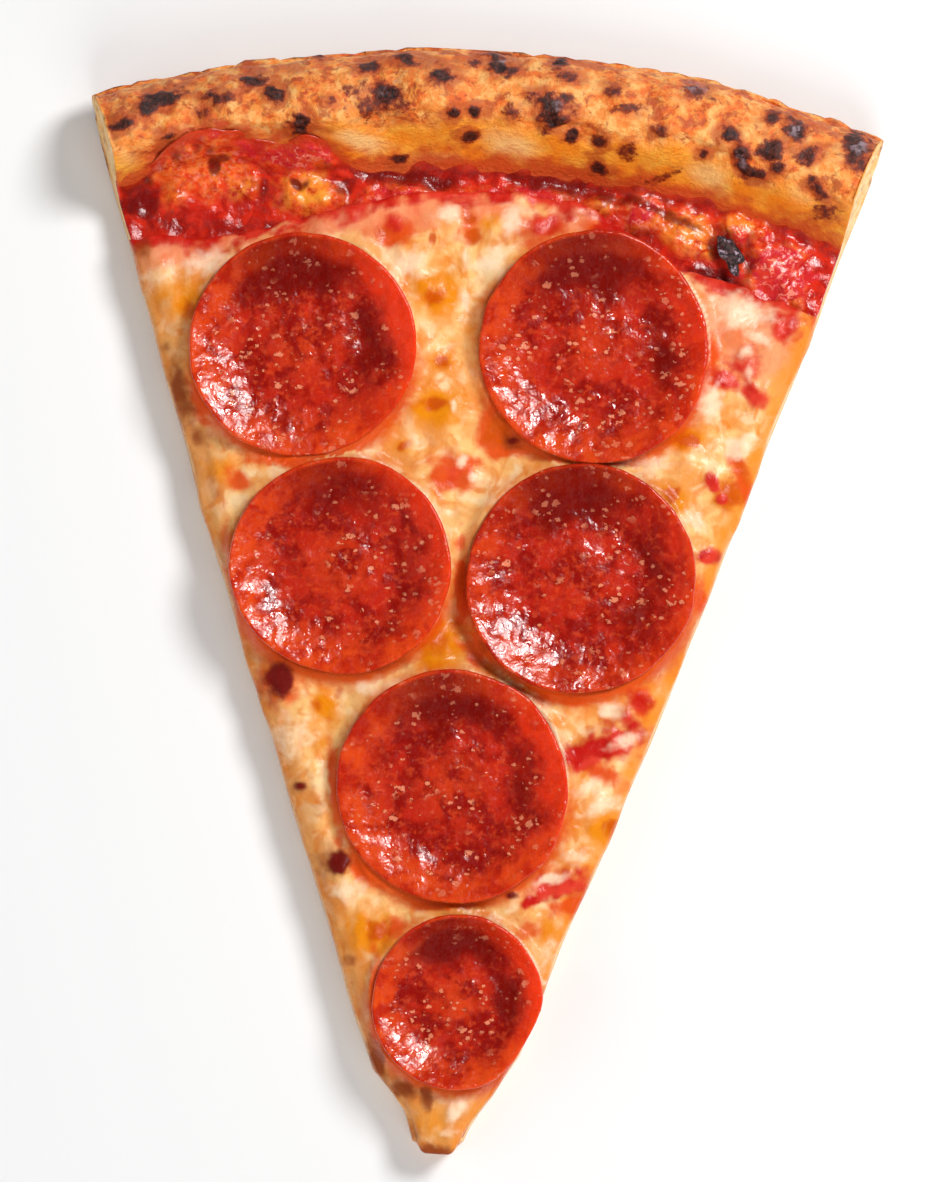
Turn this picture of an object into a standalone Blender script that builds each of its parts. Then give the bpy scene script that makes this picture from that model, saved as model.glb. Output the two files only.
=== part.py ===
"""A cut slice of pepperoni pizza, lying flat, with its tip towards -Y and its rim towards +Y.

A slice is a wedge of a round pizza, so the dough, the sauce and the cheese are each a profile turned
about the pizza's centre by the angle of the slice. The turned shape is then fitted to the cuts, the
blunt tip and the uneven surface of the baked pizza. The pepperoni are thin round slices of sausage
that cupped in the oven, each turned about its own middle and laid on the cheese.
"""

import math

import bmesh
import bpy
from mathutils import Vector, noise

MM = 0.001

# The pizza that the slice comes from, and the slice's outline
PIZZA_RADIUS = 203 * MM
SLICE_ANGLE = math.radians(38.2)
PIZZA_CENTRE = Vector((0.3, -112.4, 0.0)) * MM  # puts the origin under the middle of the slice
TIP_RADIUS = 21.5 * MM  # the cuts don't meet in a point: the tip ends this far from the centre
TIP_ROUNDING = 2.2 * MM
TIP_BLEND = 12 * MM
CUT_SLOPE = 0.13  # the cuts lean out towards the table by this much of their height
CUT_PLUMB_HEIGHT = 4 * MM  # height at which a cut lies on the wedge's own side
CUT_WOBBLE = 0.5 * MM
CUT_WOBBLE_LENGTH = 14 * MM
CUT_SEED = 3.7

# The angle in degrees from the slice's middle line to each cut, at each distance in mm from the centre
LEFT_CUT = ((21.5, 8.8), (28, 10.6), (31.5, 12.8), (36, 16.6), (45, 18.1), (70, 18.5), (110, 19.1), (203, 18.8))
RIGHT_CUT = ((21.5, 10.3), (28, 13.2), (32, 15.2), (40, 18.2), (60, 18.4), (85, 19.1), (110, 19.2), (203, 18.8))

# Dough
BASE_HEIGHT = 4.6 * MM
RIM_WIDTH = 22 * MM
RIM_HEIGHT = 17 * MM
CREST_INSET = 9.5 * MM  # from the rim's outer edge to its crest
WAIST_HEIGHT = 7 * MM  # height at which the rim is widest
RIM_UNDERCUT = 7 * MM  # how far the rounded underside runs in to the flat base
RIM_NARROWING = 0.22  # on the left the sauce has pushed the rim narrower
RIM_NARROW_TURN = -0.78
RIM_NARROW_SPREAD = 0.3
OUTER_WOBBLE = 0.8 * MM
OUTER_WOBBLES = 4  # about this many wobbles on each side of the middle line
OUTER_SEED = 8.3
CORNER_PULL = 0.9 * MM  # the rim's right corner lies this much nearer the centre
CORNER_START = 0.5
PUFF_HEIGHT = 2.2 * MM
PUFF_LENGTH = 13 * MM
PUFF_SEED = 2.1
FINE_PUFF_SHARE = 0.4
FINE_PUFF_SEED = 5.4

# Sauce and cheese
GAP = 0.35 * MM  # the layers touch in the real slice, and the solids keep this much apart
SAUCE_FILM = 0.9 * MM
SAUCE_EDGE = 0.5 * MM
SAUCE_LUMP = 2.2 * MM
SAUCE_LUMP_LENGTH = 7 * MM
SAUCE_LUMP_LEVEL = 0.55  # share of a full lump that the bare sauce stands up on average
SAUCE_LUMP_SWING = 0.6
SAUCE_LUMP_SEED = 9.2
SAUCE_THINNING = 3 * MM  # width over which the sauce thins out on the rim
BARE_START = 1 * MM  # from the cheese's margin to where the lumps start, and to where they are full
BARE_FULL = 5 * MM
CHEESE_TIP_INSET = 1.4 * MM
CHEESE_DEPTH = 2.7 * MM
CHEESE_BUMP = 1.1 * MM
CHEESE_BUMP_LENGTH = 15 * MM
CHEESE_SEED = 6.6
CHEESE_SHOULDER = 4 * MM  # width over which the melted cheese rounds down to a cut
CHEESE_SHOULDER_DROP = 1.5 * MM
CHEESE_MARGIN_WIDTH = 6 * MM
CHEESE_MARGIN_DROP = 1.8 * MM

# Pepperoni
PEPPERONI_DEPTH = 1.7 * MM
CUP_HEIGHT = 3.0 * MM
CUP_START = 0.5  # share of the radius where the flat floor turns up into the wall
CUP_POWER = 1.5
CUP_UNEVEN = 0.22
OVAL = 0.012
THREE_SIDED = 0.008
SEAT_HEIGHT = 8.5 * MM  # underside of a pepperoni at its middle
SEAT_GAP = 0.45 * MM
SEAT_REACH = 1.5 * MM

# Steps of the meshes
TURN_STEPS = 34
CLOSER_TO_CUTS = 0.25
BODY_STEPS = 14
UNDER_ARC_STEPS = 4
OVER_ARC_STEPS = 6
SLOPE_STEPS = 7
UNDER_SAUCE_STEPS = 18
SAUCE_BAND_START = 0.9  # share of the layer's reach from which the steps are close
SAUCE_BAND_STEPS = 8
CHEESE_STEPS = 28
CHEESE_BAND_START = 0.95
CHEESE_BAND_STEPS = 3
LAYER_EDGE = 0.992
PEPPERONI_STEPS = 24

# How far the sauce and the cheese reach from the pizza's centre, from the left cut to the right one
SAUCE_REACH = ((-1.0, 188.0), (-0.75, 193.0), (-0.5, 189.0), (-0.3, 184.0), (1.0, 183.0))
CHEESE_REACH = ((-1.0, 179.0), (-0.75, 175.5), (-0.05, 180.0), (0.22, 180.0), (0.6, 172.0), (1.0, 171.5))

# Each pepperoni: its middle and radius in mm, the slope of its seat along X and Y, where it is long
PEPPERONI = (
    ("pepperoni_rim_left", -28.5, 153.2, 18.1, (0.01, 0.03), 0.4),
    ("pepperoni_rim_right", 19.3, 155.1, 18.6, (-0.02, 0.03), 1.9),
    ("pepperoni_middle_left", -20.4, 117.4, 17.6, (0.03, -0.01), 3.0),
    ("pepperoni_middle_right", 19.0, 117.2, 18.5, (-0.03, 0.0), 0.9),
    ("pepperoni_lower", -0.3, 82.1, 18.7, (0.0, 0.02), 2.2),
    ("pepperoni_tip", 2.4, 46.9, 13.9, (0.0, 0.03), 1.55),
)

COLOURS = {
    "crust": ((0.72, 0.36, 0.11), 0.75),
    "sauce": ((0.50, 0.035, 0.012), 0.3),
    "cheese": ((0.88, 0.66, 0.32), 0.35),
    "pepperoni": ((0.47, 0.045, 0.015), 0.3),
}


def share(low, high, value):
    """How far value has come from low to high, from 0 to 1."""
    return min(1.0, max(0.0, (value - low) / (high - low)))


def ease(low, high, value):
    """The same, starting and ending gently."""
    t = share(low, high, value)
    return t * t * (3 - 2 * t)


def bell(middle, spread, value):
    return math.exp(-(((value - middle) / spread) ** 2))


def along(points, turn):
    """A length in metres, read at turn from a short list of (turn, mm) and eased in between."""
    for (before, start), (after, end) in zip(points, points[1:]):
        if turn <= after:
            return (start + (end - start) * ease(before, after, turn)) * MM
    return points[-1][1] * MM


def waviness(x, y, length, seed):
    return noise.noise(Vector((x / length, y / length, seed)))


def half_angle(radius, turn):
    """The angle from the middle line to the cut on turn's side. It closes in near the tip."""
    cut = LEFT_CUT if turn < 0 else RIGHT_CUT
    for (before, start), (after, end) in zip(cut, cut[1:]):
        if radius <= after * MM:
            return math.radians(start + (end - start) * share(before * MM, after * MM, radius))
    return math.radians(cut[-1][1])


def on_slice(radius, turn, height):
    """The point at this radius and height, with turn from -1 on the left cut to 1 on the right cut."""
    side = math.copysign(CUT_SEED, turn)
    lean = CUT_SLOPE * (CUT_PLUMB_HEIGHT - height)
    lean += CUT_WOBBLE * noise.noise(Vector((radius / CUT_WOBBLE_LENGTH, side, 0)))
    angle = turn * half_angle(radius, turn) + turn**5 * lean / radius
    tip = TIP_ROUNDING * turn**4 * (1 - ease(TIP_RADIUS, TIP_RADIUS + TIP_BLEND, radius))
    return Vector(((radius + tip) * math.sin(angle), (radius + tip) * math.cos(angle), height))


def outer_radius(turn):
    """The rim's outer edge, a little nearer the centre at the right cut."""
    wobble = OUTER_WOBBLE * waviness(turn * OUTER_WOBBLES, 0, 1, OUTER_SEED)
    return PIZZA_RADIUS + wobble - CORNER_PULL * ease(CORNER_START, 1, turn)


def rim_foot(turn):
    """Where the rim starts to rise from the flat base."""
    narrower = RIM_NARROWING * bell(RIM_NARROW_TURN, RIM_NARROW_SPREAD, turn)
    return outer_radius(turn) - RIM_WIDTH * (1 - narrower)


def puffs(radius, turn):
    """The uneven swelling of the baked rim, from nothing at its foot to its full height at the crest."""
    x, y = radius * math.sin(turn / 3), radius * math.cos(turn / 3)
    swelling = waviness(x, y, PUFF_LENGTH, PUFF_SEED)
    swelling += FINE_PUFF_SHARE * waviness(x, y, PUFF_LENGTH / 2, FINE_PUFF_SEED)
    return PUFF_HEIGHT * swelling * ease(0, CREST_INSET, radius - rim_foot(turn))


def dough_top(radius, turn):
    """Height of the dough on the base and up the inner side of the rim."""
    crest = outer_radius(turn) - CREST_INSET
    rise = (RIM_HEIGHT - BASE_HEIGHT) * ease(rim_foot(turn), crest, radius)
    return BASE_HEIGHT + rise + puffs(radius, turn)


def sauce_under(radius, turn):
    return dough_top(radius, turn) + GAP


def sauce_top(radius, turn):
    """A film under the cheese, and soft lumps in the bare band between the cheese and the rim."""
    x, y = radius * math.sin(turn / 3), radius * math.cos(turn / 3)
    reach, cheese_reach = along(SAUCE_REACH, turn), along(CHEESE_REACH, turn)
    thinning = reach - SAUCE_THINNING
    lumps = SAUCE_LUMP_LEVEL + SAUCE_LUMP_SWING * waviness(x, y, SAUCE_LUMP_LENGTH, SAUCE_LUMP_SEED)
    lumps *= ease(cheese_reach + BARE_START, cheese_reach + BARE_FULL, radius)
    lumps *= 1 - share(thinning, reach, radius) ** 2
    film = SAUCE_EDGE + (SAUCE_FILM - SAUCE_EDGE) * ease(reach, thinning, radius)
    return sauce_under(radius, turn) + film + SAUCE_LUMP * max(0.0, lumps)


def cheese_under(radius, turn):
    return dough_top(radius, turn) + GAP + SAUCE_FILM + GAP


def cup(distance, radius):
    """How far a pepperoni's underside has risen, from its middle out to its edge."""
    return CUP_HEIGHT * share(CUP_START, 1, distance / radius) ** CUP_POWER


def pressed_by_pepperoni(point, height):
    """Cheese at this point and height, pushed down where a pepperoni lies on it."""
    for _, x, y, radius, slope, _ in PEPPERONI:
        offset = Vector((point.x - x * MM, point.y - y * MM))
        distance, radius = offset.length, radius * MM
        if distance > radius + SEAT_REACH:
            continue
        rise = cup(distance, radius) * (1 - CUP_UNEVEN)
        seat = SEAT_HEIGHT + offset.dot(Vector(slope)) + rise - SEAT_GAP
        height = min(height, seat)
    return height


def cheese_top(radius, turn):
    """Melted cheese: gently bumpy, rounded down to the cuts and to its uneven outer margin."""
    reach = along(CHEESE_REACH, turn)
    point = on_slice(radius, turn, SEAT_HEIGHT)
    bumps = CHEESE_BUMP * waviness(point.x, point.y, CHEESE_BUMP_LENGTH, CHEESE_SEED)
    to_cut = (1 - abs(turn)) * radius * half_angle(radius, turn)
    shoulder = CHEESE_SHOULDER_DROP * (1 - share(0, CHEESE_SHOULDER, to_cut)) ** 2
    margin = CHEESE_MARGIN_DROP * share(reach - CHEESE_MARGIN_WIDTH, reach, radius) ** 2
    tip = CHEESE_SHOULDER_DROP * (1 - share(0, CHEESE_SHOULDER, radius - TIP_RADIUS)) ** 2
    height = cheese_under(radius, 0) + CHEESE_DEPTH + bumps - max(shoulder, margin, tip)
    return pressed_by_pepperoni(point, height)


def turned(profile, fit):
    """A closed bmesh: the profile, a closed line of (radius, level), turned by the slice's angle.

    fit gives each turned point its place from its radius, its turn from -1 to 1 and its level.
    """
    bm = bmesh.new()
    first = [bm.verts.new((0, radius, level)) for radius, level in profile]
    start = [bm.edges.new(pair) for pair in zip(first, first[1:] + first[:1])]
    spun = bmesh.ops.spin(
        bm, geom=first + start, axis=(0, 0, 1), cent=(0, 0, 0), angle=SLICE_ANGLE, steps=TURN_STEPS
    )
    end = [item for item in spun["geom_last"] if isinstance(item, bmesh.types.BMEdge)]
    bmesh.ops.edgeloop_fill(bm, edges=start)
    bmesh.ops.edgeloop_fill(bm, edges=end)
    for vert in bm.verts:
        even = 1 - 2 * math.atan2(-vert.co.x, vert.co.y) / SLICE_ANGLE
        turn = even * (1 + CLOSER_TO_CUTS * (1 - even * even))
        radius, level = math.hypot(vert.co.x, vert.co.y), vert.co.z
        vert.co = fit(radius, max(-1.0, min(1.0, turn)), level)
    bmesh.ops.recalc_face_normals(bm, faces=bm.faces)
    return bm


def stations(start, end, steps):
    return [start + (end - start) * step / steps for step in range(steps + 1)]


def arc(centre, radii, start, end, steps):
    """Points on a quarter of an ellipse in the (radius, height) plane, without its two ends."""
    angles = [start + (end - start) * step / steps for step in range(1, steps)]
    return [(centre[0] + radii[0] * math.cos(a), centre[1] + radii[1] * math.sin(a)) for a in angles]


def dough_profile():
    """Along the flat underside, round the outside of the rim, down its inner slope and back to the tip."""
    crest, foot = PIZZA_RADIUS - CREST_INSET, PIZZA_RADIUS - RIM_WIDTH
    under_end = PIZZA_RADIUS - RIM_UNDERCUT
    points = [(radius, 0.0) for radius in stations(TIP_RADIUS, under_end, BODY_STEPS)]
    lower = (RIM_UNDERCUT, WAIST_HEIGHT)
    points += arc((under_end, WAIST_HEIGHT), lower, -math.pi / 2, 0, UNDER_ARC_STEPS)
    points.append((PIZZA_RADIUS, WAIST_HEIGHT))
    upper = (CREST_INSET, RIM_HEIGHT - WAIST_HEIGHT)
    points += arc((crest, WAIST_HEIGHT), upper, 0, math.pi / 2, OVER_ARC_STEPS)
    points += [(radius, RIM_HEIGHT) for radius in stations(crest, foot, SLOPE_STEPS)]
    points += [(radius, BASE_HEIGHT) for radius in stations(foot, TIP_RADIUS, BODY_STEPS)[1:]]
    return points


def fit_dough(radius, turn, level):
    """Keeps the profile's outside and gives its top and inner slope their baked heights."""
    crest, foot = PIZZA_RADIUS - CREST_INSET, PIZZA_RADIUS - RIM_WIDTH
    if radius > crest:
        swelling = puffs(outer_radius(turn) - CREST_INSET, turn) * ease(0, RIM_HEIGHT, level)
        return on_slice(radius + outer_radius(turn) - PIZZA_RADIUS, turn, level + swelling)
    if level < BASE_HEIGHT / 2:
        return on_slice(radius, turn, level)
    new_crest, new_foot = outer_radius(turn) - CREST_INSET, rim_foot(turn)
    if radius > foot:
        radius = new_foot + (radius - foot) * (new_crest - new_foot) / (crest - foot)
    else:
        radius = TIP_RADIUS + (radius - TIP_RADIUS) * (new_foot - TIP_RADIUS) / (foot - TIP_RADIUS)
    return on_slice(radius, turn, dough_top(radius, turn))


def slab_profile(start, under_steps, top_radii):
    """A slab of level 0 to 1 between start and 1, as shares of the layer's reach."""
    points = [(radius, 0.0) for radius in stations(start, 1, under_steps)]
    points.append((1.0, 0.5))
    return points + [(radius, 1.0) for radius in reversed(top_radii)]


def fit_layer(start, reach, under, top):
    """The fit of a layer: its slab is stretched to its reach and moved to its under and top surfaces."""

    def fit(part, turn, level):
        radius = start + (part - start) * (along(reach, turn) - start) / (1 - start)
        low, high = under(radius, turn), top(radius, turn)
        return on_slice(radius, turn, low + (high - low) * level)

    return fit


def band_stations(start, body_steps, band_start, band_steps):
    """Wide steps where the layer is covered, and close ones across the band that shows."""
    return stations(start, band_start, body_steps)[:-1] + stations(band_start, LAYER_EDGE, band_steps)


def finish_object(name, bm, material, parent, location=(0, 0, 0), rotation=(0, 0, 0)):
    mesh = bpy.data.meshes.new(name)
    bm.to_mesh(mesh)
    bm.free()
    mesh.shade_smooth()
    mesh.set_sharp_from_angle(angle=math.radians(50))
    mesh.materials.append(material)
    obj = bpy.data.objects.new(name, mesh)
    bpy.context.scene.collection.objects.link(obj)
    obj.parent = parent
    obj.location = location
    obj.rotation_euler = rotation
    return obj


def finish_material(name):
    colour, roughness = COLOURS[name]
    material = bpy.data.materials.new(name)
    material.use_nodes = True
    shader = material.node_tree.nodes["Principled BSDF"]
    shader.inputs["Base Color"].default_value = (*colour, 1.0)
    shader.inputs["Roughness"].default_value = roughness
    shader.inputs["Metallic"].default_value = 0.0
    return material


def pepperoni_profile():
    """From the middle of the underside out to the edge and back over the top, as shares of the radius."""
    under = [(part, 0.0) for part in (0.5, 0.75, 0.94)]
    top = [(part, 1.0) for part in (0.96, 0.86, 0.74, 0.58, 0.3)]
    return under + [(1.0, 0.5)] + top


def pepperoni_mesh(radius, long_way):
    """A thin disc, slightly oval, whose wall has curled up more along one direction than the other."""
    bm = bmesh.new()
    rings = []
    for part, level in pepperoni_profile():
        ring = bmesh.ops.create_circle(bm, radius=part * radius, segments=PEPPERONI_STEPS)["verts"]
        for vert in ring:
            angle = math.atan2(vert.co.y, vert.co.x)
            outline = 1 + OVAL * math.cos(2 * (angle - long_way))
            outline += THREE_SIDED * math.cos(3 * angle + long_way)
            rise = cup(part * radius, radius) * (1 + CUP_UNEVEN * math.cos(2 * (angle - long_way)))
            vert.co = Vector((vert.co.x * outline, vert.co.y * outline, rise + PEPPERONI_DEPTH * level))
        rings.append(ring)
    for lower, upper in zip(rings, rings[1:]):
        for step in range(PEPPERONI_STEPS):
            after = (step + 1) % PEPPERONI_STEPS
            bm.faces.new((lower[step], lower[after], upper[after], upper[step]))
    for ring, height in ((rings[0], 0.0), (rings[-1], PEPPERONI_DEPTH)):
        middle = bm.verts.new((0, 0, height))
        for step in range(PEPPERONI_STEPS):
            bm.faces.new((ring[step], ring[(step + 1) % PEPPERONI_STEPS], middle))
    bmesh.ops.recalc_face_normals(bm, faces=bm.faces)
    return bm


def build_layers(centre, materials):
    dough = turned(dough_profile(), fit_dough)
    finish_object("crust", dough, materials["crust"], centre)

    sauce_radii = band_stations(TIP_RADIUS, BODY_STEPS, SAUCE_BAND_START, SAUCE_BAND_STEPS)
    sauce = turned(
        slab_profile(TIP_RADIUS, UNDER_SAUCE_STEPS, sauce_radii),
        fit_layer(TIP_RADIUS, SAUCE_REACH, sauce_under, sauce_top),
    )
    finish_object("sauce", sauce, materials["sauce"], centre)

    tip = TIP_RADIUS + CHEESE_TIP_INSET
    cheese_radii = band_stations(tip, CHEESE_STEPS, CHEESE_BAND_START, CHEESE_BAND_STEPS)
    cheese = turned(
        slab_profile(tip, BODY_STEPS, cheese_radii),
        fit_layer(tip, CHEESE_REACH, cheese_under, cheese_top),
    )
    finish_object("cheese", cheese, materials["cheese"], centre)


def build_pepperoni(centre, materials):
    for name, x, y, radius, slope, long_way in PEPPERONI:
        finish_object(
            name,
            pepperoni_mesh(radius * MM, long_way),
            materials["pepperoni"],
            centre,
            location=(x * MM, y * MM, SEAT_HEIGHT),
            rotation=(math.atan(slope[1]), -math.atan(slope[0]), 0),
        )


def main():
    for obj in list(bpy.data.objects):
        bpy.data.objects.remove(obj)
    centre = bpy.data.objects.new("pizza_centre", None)
    bpy.context.scene.collection.objects.link(centre)
    centre.location = PIZZA_CENTRE
    materials = {name: finish_material(name) for name in COLOURS}
    build_layers(centre, materials)
    build_pepperoni(centre, materials)


main()
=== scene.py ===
"""A cut slice of pepperoni pizza lying on a pale table, seen from straight above.

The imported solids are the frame. Each baked layer and each pepperoni is modelled again around its solid,
from the dough at the bottom to the pepperoni on top.
"""

import math

import bpy
import numpy as np
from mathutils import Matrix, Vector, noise


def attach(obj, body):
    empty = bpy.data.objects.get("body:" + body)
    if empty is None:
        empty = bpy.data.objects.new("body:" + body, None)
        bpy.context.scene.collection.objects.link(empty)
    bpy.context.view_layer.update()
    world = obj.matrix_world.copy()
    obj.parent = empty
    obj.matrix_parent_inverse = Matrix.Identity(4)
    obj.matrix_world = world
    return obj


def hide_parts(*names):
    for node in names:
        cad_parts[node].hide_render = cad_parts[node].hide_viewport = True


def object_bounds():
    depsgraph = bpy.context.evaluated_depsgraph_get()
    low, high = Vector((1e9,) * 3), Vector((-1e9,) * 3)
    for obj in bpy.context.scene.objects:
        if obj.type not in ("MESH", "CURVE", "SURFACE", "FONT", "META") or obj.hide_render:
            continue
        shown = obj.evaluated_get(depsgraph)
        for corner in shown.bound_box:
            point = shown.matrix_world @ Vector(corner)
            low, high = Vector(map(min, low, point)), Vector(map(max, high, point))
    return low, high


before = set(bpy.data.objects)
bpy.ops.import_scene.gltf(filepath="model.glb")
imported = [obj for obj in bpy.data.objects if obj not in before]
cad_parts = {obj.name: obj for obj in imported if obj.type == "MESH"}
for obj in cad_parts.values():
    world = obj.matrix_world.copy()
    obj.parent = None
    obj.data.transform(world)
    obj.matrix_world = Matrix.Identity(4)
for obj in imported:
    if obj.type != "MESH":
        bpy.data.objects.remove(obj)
cad_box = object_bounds()


# The dough. One wedge of a round, stretched base with a puffed rim. It is baked on stone, so the rim is
# golden and blistered with char, the underside is toasted, and the two cuts show the open crumb.

MM = 0.001
PIZZA_CENTRE = np.array((0.3, -112.4, 0.0)) * MM
PIZZA_RADIUS = 203 * MM
TIP_RADIUS = 21.5 * MM
TIP_ROUNDING = 2.2 * MM
TIP_BLEND = 12 * MM
CUT_SLOPE = 0.13
CUT_PLUMB_HEIGHT = 4 * MM
CUT_WOBBLE = 0.5 * MM
CUT_WOBBLE_LENGTH = 14 * MM
# Degrees from the slice's middle line to each cut, at each distance in mm from the pizza's centre
LEFT_CUT = (
    (21.5, 8.8), (28, 10.6), (31.5, 12.8), (36, 16.6), (45, 18.1), (70, 18.5), (110, 19.1), (203, 18.8),
)
RIGHT_CUT = (
    (21.5, 10.3), (28, 13.2), (32, 15.2), (40, 18.2), (60, 18.4), (85, 19.1), (110, 19.2), (203, 18.8),
)
BASE_HEIGHT = 4.6 * MM
RIM_WIDTH = 22 * MM
RIM_HEIGHT = 17 * MM
CREST_INSET = 9.5 * MM
WAIST_HEIGHT = 7 * MM
RIM_UNDERCUT = 7 * MM
RIM_NARROWING = 0.22
OUTER_WOBBLE = 0.8 * MM
CORNER_PULL = 0.9 * MM
PUFF_HEIGHT = 2.2 * MM
PUFF_LENGTH = 13 * MM

# The view that the slice is seen in: marks on it are placed by where that picture shows them
PICTURE_WIDTH, PICTURE_HEIGHT = 945, 1182
VIEW_CENTRE = np.array((1.7, 1.9)) * MM
VIEW_TURN = math.radians(2.9)
VIEW_LEVEL = 8 * MM
VIEW_SPAN = 194.3 * MM
LENS, SENSOR = 180, 36
VIEW_HEIGHT = VIEW_LEVEL + VIEW_SPAN * LENS / SENSOR


def share(low, high, value):
    """How far value has come from low to high, from 0 to 1."""
    return np.clip((value - low) / (high - low), 0, 1)


def ease(low, high, value):
    """The same, starting and ending gently."""
    t = share(low, high, value)
    return t * t * (3 - 2 * t)


def bell(value, middle, width):
    """1 where value is middle, fading to 0 on both sides over about twice this width."""
    return np.exp(-(((value - middle) / width) ** 2))


def waves(x, y, z):
    """Blender's own smooth noise at many points, the same as in the solids."""
    return np.array([noise.noise(point) for point in zip(*np.broadcast_arrays(x, y, z))])


def rough(points, size, seed):
    """Smooth random heights from about -1 to 1 that change over this size."""
    dice = np.random.default_rng(seed)
    shuffled = dice.permutation(256)
    slopes = dice.normal(size=(3, 256))
    slopes /= np.linalg.norm(slopes, axis=0)
    scaled = np.ascontiguousarray((points / size).T)
    cell = np.floor(scaled).astype(np.int32)
    part = scaled - cell
    eased = part**3 * (part * (part * 6 - 15) + 10)
    total = 0
    for corner in np.ndindex(2, 2, 2):
        x, y, z = [(whole + step) & 255 for whole, step in zip(cell, corner)]
        pick = shuffled[(shuffled[(shuffled[x] + y) & 255] + z) & 255]
        weight, height = 1, 0
        for step, within, blend, slope in zip(corner, part, eased, slopes):
            weight = weight * (blend if step else 1 - blend)
            height = height + (within - step) * slope[pick]
        total = total + weight * height
    return total * 1.8


def layered(points, size, seed, layers=3):
    return sum(rough(points, size / 2**n, seed + n) / 2**n for n in range(layers))


def bubbles(points, size, seed):
    """How near each point is to the middle of a bubble, in sizes, and that bubble's own number, 0 to 1."""
    dice = np.random.default_rng(seed)
    shuffled = dice.permutation(256)
    middles = dice.random((256, 3))
    numbers = dice.random(256)
    scaled = np.ascontiguousarray((points / size).T)
    cell = np.floor(scaled).astype(np.int32)
    nearest = np.full(len(points), 9.0)
    number = np.zeros(len(points))
    for step in np.ndindex(3, 3, 3):
        x, y, z = [whole + one - 1 for whole, one in zip(cell, step)]
        pick = shuffled[(shuffled[(shuffled[x & 255] + y) & 255] + z) & 255]
        offsets = [at + middle[pick] - own for at, middle, own in zip((x, y, z), middles.T, scaled)]
        distance = np.sqrt(sum(offset**2 for offset in offsets))
        number = np.where(distance < nearest, numbers[pick], number)
        nearest = np.minimum(distance, nearest)
    return nearest, number


def half_angle(radius, turn):
    """The angle from the middle line to the cut on turn's side. It closes in near the tip."""
    left, right = [np.interp(radius / MM, *np.array(cut).T) for cut in (LEFT_CUT, RIGHT_CUT)]
    return np.radians(np.where(turn < 0, left, right))


def crowded(even, amount):
    """Even steps across the slice, drawn closer together towards both cuts."""
    return even * (1 + amount - amount * even * even)


# The cuts' wobble along the slice and the wobble of its outer edge, each worked out once along a line
RADII, TURNS = np.linspace(0, 0.22, 900), np.linspace(-1, 1, 600)
LEFT_WOBBLE, RIGHT_WOBBLE = [waves(RADII / CUT_WOBBLE_LENGTH, side, 0) for side in (-3.7, 3.7)]
EDGE_WOBBLE = waves(TURNS * 4, 0, 8.3)


def on_slice(radius, turn, height):
    """Points at these radii and heights, with turn from -1 on the left cut to 1 on the right cut."""
    lean = CUT_SLOPE * (CUT_PLUMB_HEIGHT - height)
    left, right = [np.interp(radius, RADII, wobble) for wobble in (LEFT_WOBBLE, RIGHT_WOBBLE)]
    lean = lean + CUT_WOBBLE * np.where(turn < 0, left, right)
    angle = turn * half_angle(radius, turn) + turn**5 * lean / radius
    rounded = radius + TIP_ROUNDING * turn**4 * (1 - ease(TIP_RADIUS, TIP_RADIUS + TIP_BLEND, radius))
    return np.stack((rounded * np.sin(angle), rounded * np.cos(angle), height), axis=1) + PIZZA_CENTRE


def outer_radius(turn):
    wobble = OUTER_WOBBLE * np.interp(turn, TURNS, EDGE_WOBBLE)
    return PIZZA_RADIUS + wobble - CORNER_PULL * ease(0.5, 1, turn)


def rim_foot(turn):
    narrower = RIM_NARROWING * bell(turn, -0.78, 0.3)
    return outer_radius(turn) - RIM_WIDTH * (1 - narrower)


def puffs(radius, turn):
    risen = ease(0, CREST_INSET, radius - rim_foot(turn))
    on_rim = risen > 0
    x, y = (radius * np.sin(turn / 3))[on_rim], (radius * np.cos(turn / 3))[on_rim]
    swelling = waves(x / PUFF_LENGTH, y / PUFF_LENGTH, 2.1)
    swelling = swelling + 0.4 * waves(2 * x / PUFF_LENGTH, 2 * y / PUFF_LENGTH, 5.4)
    risen[on_rim] *= PUFF_HEIGHT * swelling
    return risen


def dough_top(radius, turn):
    rise = (RIM_HEIGHT - BASE_HEIGHT) * ease(rim_foot(turn), outer_radius(turn) - CREST_INSET, radius)
    return BASE_HEIGHT + rise + puffs(radius, turn)


def in_picture(points):
    """Where the picture shows these points, in its own points across and down."""
    scale = (VIEW_HEIGHT - points[:, 2]) / (VIEW_HEIGHT - VIEW_LEVEL) * VIEW_SPAN / PICTURE_HEIGHT
    offset = points[:, :2] - VIEW_CENTRE
    right = offset[:, 0] * math.cos(VIEW_TURN) + offset[:, 1] * math.sin(VIEW_TURN)
    up = offset[:, 1] * math.cos(VIEW_TURN) - offset[:, 0] * math.sin(VIEW_TURN)
    return PICTURE_WIDTH / 2 + right / scale, PICTURE_HEIGHT / 2 - up / scale


def marks(points, places, ragged=0.35, size=2 * MM, seed=11, soft=0.45):
    """How strongly each point shows the marks, each (across, down, half long, half wide, tilt, strength)."""
    across, down = in_picture(points)
    wander = ragged * layered(points, size, seed, 2)
    shown = np.zeros(len(points))
    for middle_across, middle_down, long, wide, tilt, strength in places:
        right, up = across - middle_across, middle_down - down
        cosine, sine = math.cos(math.radians(tilt)), math.sin(math.radians(tilt))
        distance = np.hypot((right * cosine + up * sine) / long, (up * cosine - right * sine) / wide)
        shown = np.maximum(shown, strength * (1 - ease(1 - soft, 1 + soft, distance + wander)))
    return shown


def deselect_all():
    bpy.ops.object.select_all(action="DESELECT")


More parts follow.
